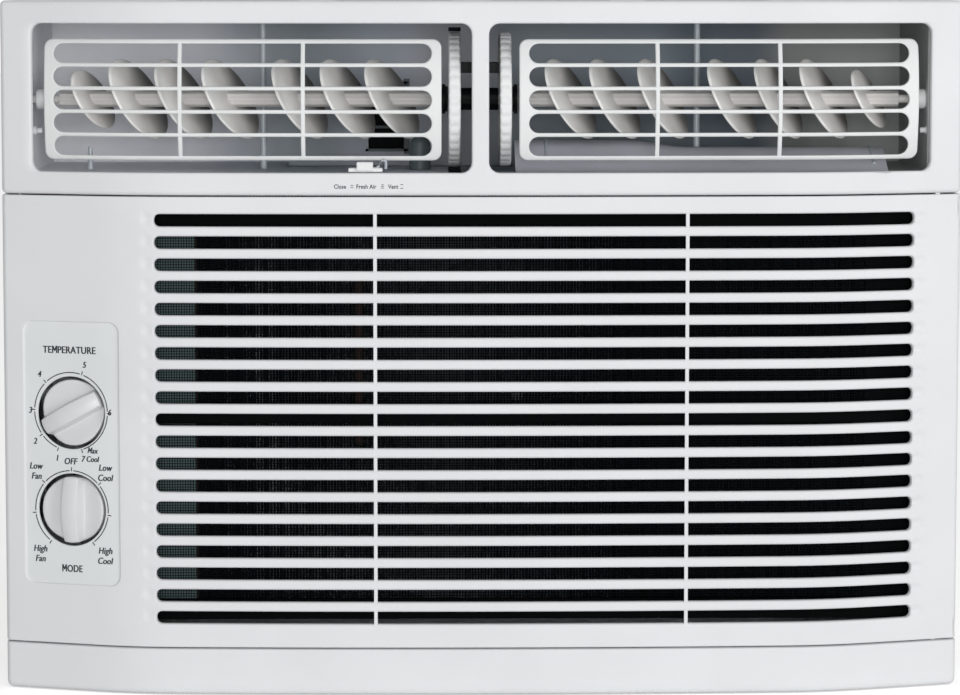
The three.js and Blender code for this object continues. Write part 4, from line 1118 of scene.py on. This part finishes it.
def pressed_hood(shape, corner, along, out, down, length, drop, rise):
    """A louver pressed out of the sheet: closed along its upper edge and ends, open along its lower edge."""
    corner, along, out, down = (Vector(v) for v in (corner, along, out, down))
    steps, across, thick = 24, 8, 0.8 * MM
    outer, inner = [], []
    for i in range(steps + 1):
        s = i / steps * length
        end = min(s, length - s) / (7 * MM)
        end = math.sqrt(max(0.0, 1 - (1 - min(1.0, end)) ** 2))
        row_out, row_in = [], []
        for j in range(across + 1):
            t = j / across
            height = rise * end * math.sin(math.pi / 2 * t) ** 1.2
            base = corner + along * s + down * (drop * t)
            row_out.append(base + out * (height + 0.05 * MM))
            row_in.append(base + out * max(height - thick, -0.5 * MM))
        outer.append(shape.add(row_out))
        inner.append(shape.add(row_in))
    shape.skin(outer, closed=False)
    for a, b in zip(inner, inner[1:]):
        shape.strip(b, a, closed=False)
    shape.strip(grid_rim(inner), grid_rim(outer))


LEDGE_FRONT, LEDGE_BACK = -0.2340, -0.1940


def ledge_top(x, y):
    """Height of the sloping ledge at the bottom of the right opening."""
    top = 270.6 * MM - 3.4 * MM * smoothstep(75 * MM, 102 * MM, x)
    low = 256.2 * MM
    return low + (top - low) * smoothstep(0.15, 1.0, (y - LEDGE_FRONT) / (LEDGE_BACK - LEDGE_FRONT))


DUCT_FLOOR = 0.2562
GUARD_FRONT, GUARD_BACK = -107.2 * MM, -106.2 * MM
COIL_SIDE_LOW = {"y": -0.2084, "z": 0.033}
COIL_SIDE_HIGH = {"y": -0.2042, "z": 0.2385}


def duct_posts():
    """Two tall posts, a short stud and two bent ribs on the ledge, all of clear plastic."""
    posts = Shape()
    tall = [(0, 0), (0, 1.65 * MM), (74.6 * MM, 1.65 * MM), (74.6 * MM, 0)]
    for x in (-107.7, 108.9):
        posts.lathe(tall, (x * MM, -0.1875, DUCT_FLOOR), (0, 0, 1), 20)
    stud = [(0, 0), (0, 2.1 * MM), (1 * MM, 1.5 * MM), (11 * MM, 1.1 * MM), (11.6 * MM, 0.6 * MM),
            (11.6 * MM, 0)]
    posts.lathe(stud, (-193.2 * MM, -0.1985, DUCT_FLOOR), (0, 0, 1), 20)
    for x in (33.2, 194.9):
        path = [(x * MM, y, ledge_top(x * MM, y) - 0.1 * MM) for y in np.linspace(-0.2150, -0.1955, 7)]
        bent_rod(posts, path, 0.9 * MM)
    posts.piece("duct_posts", HOUSING, CLEAR)


def vent_guard():
    """The plate beside the vent hole, and the bars and round boss of the guard over it."""
    blank = Shape()
    blank.block((-81 * MM, GUARD_FRONT, 260 * MM), (-56.5 * MM, GUARD_BACK, 299 * MM))
    blank.piece("vent_blanking_plate", HOUSING, DUCT)
    guard = Shape()
    for z in (262, 274, 286, 297):
        guard.block((-58 * MM, GUARD_FRONT, (z - 0.7) * MM), (-36 * MM, GUARD_BACK, (z + 0.7) * MM))
    guard.block((-38 * MM, GUARD_FRONT, 260 * MM), (-35 * MM, GUARD_BACK, 299 * MM))
    boss = [(0, 0), (0, 5.4 * MM), (13 * MM, 5 * MM), (15 * MM, 4 * MM), (16 * MM, 2.4 * MM),
            (16.4 * MM, 0)]
    guard.lathe(boss, (-29.5 * MM, -0.196, DUCT_FLOOR), (0, 0, 1), 32)
    guard.piece("vent_guard", HOUSING, SHADE)


def thumbwheel_slots():
    """Thin black strips above and below the thumbwheels: painted shade for the dark gaps they turn in."""
    slots = Shape()
    for low, high in ((0.3250, 0.3268), (DUCT_FLOOR, 0.2580)):
        slots.block((-15.4 * MM, -0.236, low), (-9.5 * MM, -0.2105, high))
    slots.piece("thumbwheel_slots", HOUSING, PITCH)


def duct_ledge():
    """The solid ledge at the bottom of the right opening, its top following ledge_top."""
    ledge = Shape()
    rows = []
    for i in range(15):
        y = LEDGE_FRONT + (LEDGE_BACK - LEDGE_FRONT) * i / 14
        xs = [(17.5 + (201 - 17.5) * k / 32) * MM for k in range(33)]
        rows.append(ledge.add([(x, y, ledge_top(x, y)) for x in xs]))
    lows = [ledge.add([(x, y, 256.1 * MM) for x, y, _ in (ledge.verts[i] for i in row)]) for row in rows]
    ledge.skin(rows, closed=False)
    for a, b in zip(lows, lows[1:]):
        ledge.strip(b, a, closed=False)
    ledge.strip(rows[0], lows[0], closed=False)
    ledge.strip(lows[-1], rows[-1], closed=False)
    ledge.strip([r[0] for r in lows], [r[0] for r in rows], closed=False)
    ledge.strip([r[-1] for r in rows], [r[-1] for r in lows], closed=False)
    ledge.piece("duct_ledge", HOUSING, LEDGE)


def louver_stop_pegs():
    """One peg beyond the outer end of each louver."""
    pegs = Shape()
    profile = [(0, 0), (0, 1.3 * MM), (2.4 * MM, 1.3 * MM), (2.8 * MM, 2.1 * MM), (5.6 * MM, 2.1 * MM),
               (6.2 * MM, 1.6 * MM), (6.2 * MM, 0)]
    for side in (-1, 1):
        extra = right_stretch(side * 219 * MM)
        pegs.lathe(profile, (side * 215.2 * MM + extra, -0.2145, 0.2762), (side, 0, 0), 24)
    pegs.piece("louver_stop_pegs", HOUSING, LOUVER_WHITE)


def coil_side(name, x0, x1, material):
    """A flat filler at one end of the evaporator coil."""
    shape = Shape()
    shape.block((x0, COIL_SIDE_LOW["y"], COIL_SIDE_LOW["z"]), (x1, COIL_SIDE_HIGH["y"], COIL_SIDE_HIGH["z"]))
    shape.piece(name, HOUSING, material)


def cabinet_hoods():
    shape = Shape()
    top = CABINET_HIGH.z
    for column in range(2):
        for row in range(9):
            y, z = (20 + column * 86) * MM, (120 + row * 20) * MM
            for side in (-1, 1):
                x = CABINET_HIGH.x if side > 0 else CABINET_LOW.x
                pressed_hood(shape, (x, y - 1 * MM, z + 10.5 * MM), (0, 1, 0), (side, 0, 0), (0, 0, -1),
                             72 * MM, 10 * MM, 3.6 * MM)
    for column in range(4):
        for row in range(4):
            x, y = (-172 + column * 90) * MM, (70 + row * 20) * MM
            pressed_hood(shape, (x - 1 * MM, y - 4.5 * MM, top), (1, 0, 0), (0, 0, 1), (0, 1, 0),
                         76 * MM, 10 * MM, 2.4 * MM)
    shape.piece("cabinet_pressed_louvers", HOUSING, CABINET, sharp=50)


def screw(shape, place, axis):
    """A hex washer-head screw."""
    washer = [(-0.6, 0), (-0.6, 4.6), (0.5, 4.6), (0.9, 4.1), (0.9, 0)]
    head = [(0.6, 0), (0.6, 3.3), (3.1, 3.3), (3.5, 2.7), (3.3, 0)]
    for profile, sides in ((washer, 32), (head, 6)):
        shape.lathe([(along * MM, r * MM) for along, r in profile], place, axis, sides)


def cabinet_screws():
    shape = Shape()
    for y in (-140, -30, 90, 215):
        for side, x in ((-1, CABINET_LOW.x), (1, CABINET_HIGH.x)):
            if side > 0 and y == -140:
                continue
            screw(shape, (x, y * MM, 16 * MM), (side, 0, 0))
    for x in (-222, 222):
        for z in (60, 180, 300):
            screw(shape, (x * MM, CABINET_HIGH.y, z * MM), (0, 1, 0))
    for x in (-150, 0, 150):
        screw(shape, (x * MM, CABINET_HIGH.y, 330 * MM), (0, 1, 0))
    shape.piece("cabinet_screws", HOUSING, ZINC, sharp=30)


def pressed_border(shape, points, out, width, rise):
    """A raised bead that runs round a panel."""
    out = Vector(out)
    count = len(points)
    rows = []
    for i, p in enumerate(points):
        p = Vector(p)
        before, after = Vector(points[i - 1]), Vector(points[(i + 1) % count])
        tangent = (after - before).normalized()
        side = tangent.cross(out).normalized()
        row = []
        for k in range(7):
            t = k / 6 * 2 - 1
            row.append(p + side * (width / 2 * t) + out * (rise * (1 - t * t) - 0.3 * MM * abs(t) ** 4))
        rows.append(shape.add(row))
    for i in range(count):
        a, b = rows[i], rows[(i + 1) % count]
        shape.strip(a, b)


def rounded_loop(a0, a1, b0, b1, r, steps=8):
    points = []
    corners = ((a1 - r, b1 - r, 0), (a0 + r, b1 - r, 90), (a0 + r, b0 + r, 180), (a1 - r, b0 + r, 270))
    for ca, cb, start in corners:
        for i in range(steps + 1):
            t = math.radians(start + 90 * i / steps)
            points.append((ca + r * math.cos(t), cb + r * math.sin(t)))
    return points


def cabinet_beads():
    shape = Shape()
    for side, x in ((-1, CABINET_LOW.x), (1, CABINET_HIGH.x)):
        loop = [(x, a, b) for a, b in rounded_loop(-158 * MM, 232 * MM, 34 * MM, 324 * MM, 14 * MM)]
        pressed_border(shape, loop, (side, 0, 0), 7 * MM, 1.3 * MM)
    top = rounded_loop(-216 * MM, 216 * MM, -150 * MM, 232 * MM, 14 * MM)
    loop = [(a, b, CABINET_HIGH.z) for a, b in top]
    pressed_border(shape, loop, (0, 0, 1), 7 * MM, 1.2 * MM)
    shape.piece("cabinet_pressed_beads", HOUSING, CABINET, sharp=50)


duct_posts()
vent_guard()
thumbwheel_slots()
duct_ledge()
louver_stop_pegs()
coil_side("evaporator_side_foam", -0.1676, -0.1412, FOAM)
# Painted shade: a pitch-black sheet at the right end of the coil stands for the shade behind the slots there.
coil_side("evaporator_side_shade_sheet", 0.1925, 0.2145, PITCH)
cabinet_hoods()
cabinet_screws()
cabinet_beads()


# ---- Looks of the CAD nodes ----------------------------------------------------------------------
CAD_LOOKS = (
    (LOUVER_WHITE, ("louver_left", "louver_right", "thumbwheel_left", "thumbwheel_right",
        "vent_lever")),
    (VANE, ("vane_shaft_left", "vane_shaft_right")),
    (OVERLAY, ("control_plate",)),
    (KNOB_WHITE, ("temp_knob", "mode_knob")),
    (BLACK, ("friction_collar_left", "friction_collar_right", "centre_bearing", "vent_door",
        "condenser_fan", "selector_switch")),
    (PITCH, ("filter_frame",)),
    (NET, ("filter_mesh",)),
    (FIN, ("evaporator_fins", "condenser_fins", "run_capacitor")),
    (COPPER_DULL, ("evaporator_end_left", "evaporator_end_right", "sensing_bulb")),
    (COPPER, ("condenser_end_left", "condenser_end_right", "suction_tube", "discharge_tube",
        "capillary_tube")),
    (DUCT, ("blower_scroll", "discharge_duct")),
    (FAN_GREY, ("blower_wheel",)),
    (ZINC, ("motor_shaft", "motor_bracket", "bulkhead", "fan_shroud", "fan_ring", "base_pan",
        "thermostat", "thermostat_shaft", "selector_shaft", "control_box")),
    (BLACK_STEEL, ("fan_motor", "compressor", "compressor_base", "accumulator")),
    (RUBBER, ("compressor_foot_1", "compressor_foot_2", "compressor_foot_3", "cord_grommet",
        "drain_plug")),
    (CABINET, ("cabinet_wrap",)),
)


def dress(node, material):
    """Give a CAD node its material and, where it is shown, a small bevel."""
    node.data.materials.clear()
    node.data.materials.append(material)
    if node.hide_render:
        return
    bevel = node.modifiers.new("edge", "BEVEL")
    bevel.width = 0.3 * MM
    bevel.segments = 2
    bevel.limit_method = "ANGLE"
    bevel.angle_limit = math.radians(40)
    add_weighted_normals(node)


for look, names in CAD_LOOKS:
    for node_name in names:
        dress(frame["nodes"][node_name], look)


# ---- Stage, light and camera --------------------------------------------------------------------
def floor():
    mesh = bpy.data.meshes.new("floor")
    half = 14.0
    corners = [(-half, -half, 0), (half, -half, 0), (half, half, 0), (-half, half, 0)]
    mesh.from_pydata(corners, [], [(0, 1, 2, 3)])
    obj = bpy.data.objects.new("floor", mesh)
    bpy.context.scene.collection.objects.link(obj)
    paint = moulded("floor_paint", srgb(246, 246, 246), 0.9, grain=60, bump=0.0, mottle=0.004, specular=0.1)
    glow = paint.node_tree.nodes["Principled BSDF"].inputs
    glow["Emission Color"].default_value = (1, 1, 1, 1)
    nodes, links = paint.node_tree.nodes, paint.node_tree.links
    rays, scale = nodes.new("ShaderNodeLightPath"), nodes.new("ShaderNodeMath")
    scale.operation = "MULTIPLY"
    scale.inputs[1].default_value = 0.5
    links.new(rays.outputs["Is Camera Ray"], scale.inputs[0])
    links.new(scale.outputs[0], glow["Emission Strength"])
    obj.data.materials.append(paint)
    obj.location.z = -0.6 * MM


def area_light(name, place, target, size, power):
    light = bpy.data.lights.new(name, "AREA")
    light.shape = "RECTANGLE"
    light.size, light.size_y = size
    light.energy = power
    obj = bpy.data.objects.new(name, light)
    obj.location = place
    obj.rotation_euler = (Vector(target) - Vector(place)).to_track_quat("-Z", "Y").to_euler()
    bpy.context.scene.collection.objects.link(obj)


def world(strength):
    made = bpy.data.worlds.new("studio")
    made.use_nodes = True
    nodes, links = made.node_tree.nodes, made.node_tree.links
    background = nodes["Background"]
    background.inputs["Color"].default_value = (1, 1, 1, 1)
    background.inputs["Strength"].default_value = strength
    seen = nodes.new("ShaderNodeBackground")
    seen.inputs["Color"].default_value = (1, 1, 1, 1)
    seen.inputs["Strength"].default_value = 1.0
    rays = nodes.new("ShaderNodeLightPath")
    mix = nodes.new("ShaderNodeMixShader")
    links.new(rays.outputs["Is Camera Ray"], mix.inputs["Fac"])
    links.new(background.outputs["Background"], mix.inputs[1])
    links.new(seen.outputs["Background"], mix.inputs[2])
    links.new(mix.outputs["Shader"], nodes["World Output"].inputs["Surface"])
    bpy.context.scene.world = made


def camera():
    data = bpy.data.cameras.new("camera")
    data.lens = 142.5
    data.sensor_width = 36
    obj = bpy.data.objects.new("camera", data)
    obj.location = (-0.026, FRONT_Y - 1.8438, 0.3448)
    obj.rotation_euler = (math.radians(90 - 5.367), 0, math.radians(-0.8))
    bpy.context.scene.collection.objects.link(obj)
    bpy.context.scene.camera = obj


floor()
world(0.39)
area_light("key", (2.0, -2.6, 0.74), (0, FRONT_Y, 0.25), (1.1, 1.1), 29)
area_light("front", (0.1, -3.2, 0.44), (0, FRONT_Y, 0.25), (0.9, 0.7), 29)
camera()
bpy.context.scene.view_settings.view_transform = "Standard"
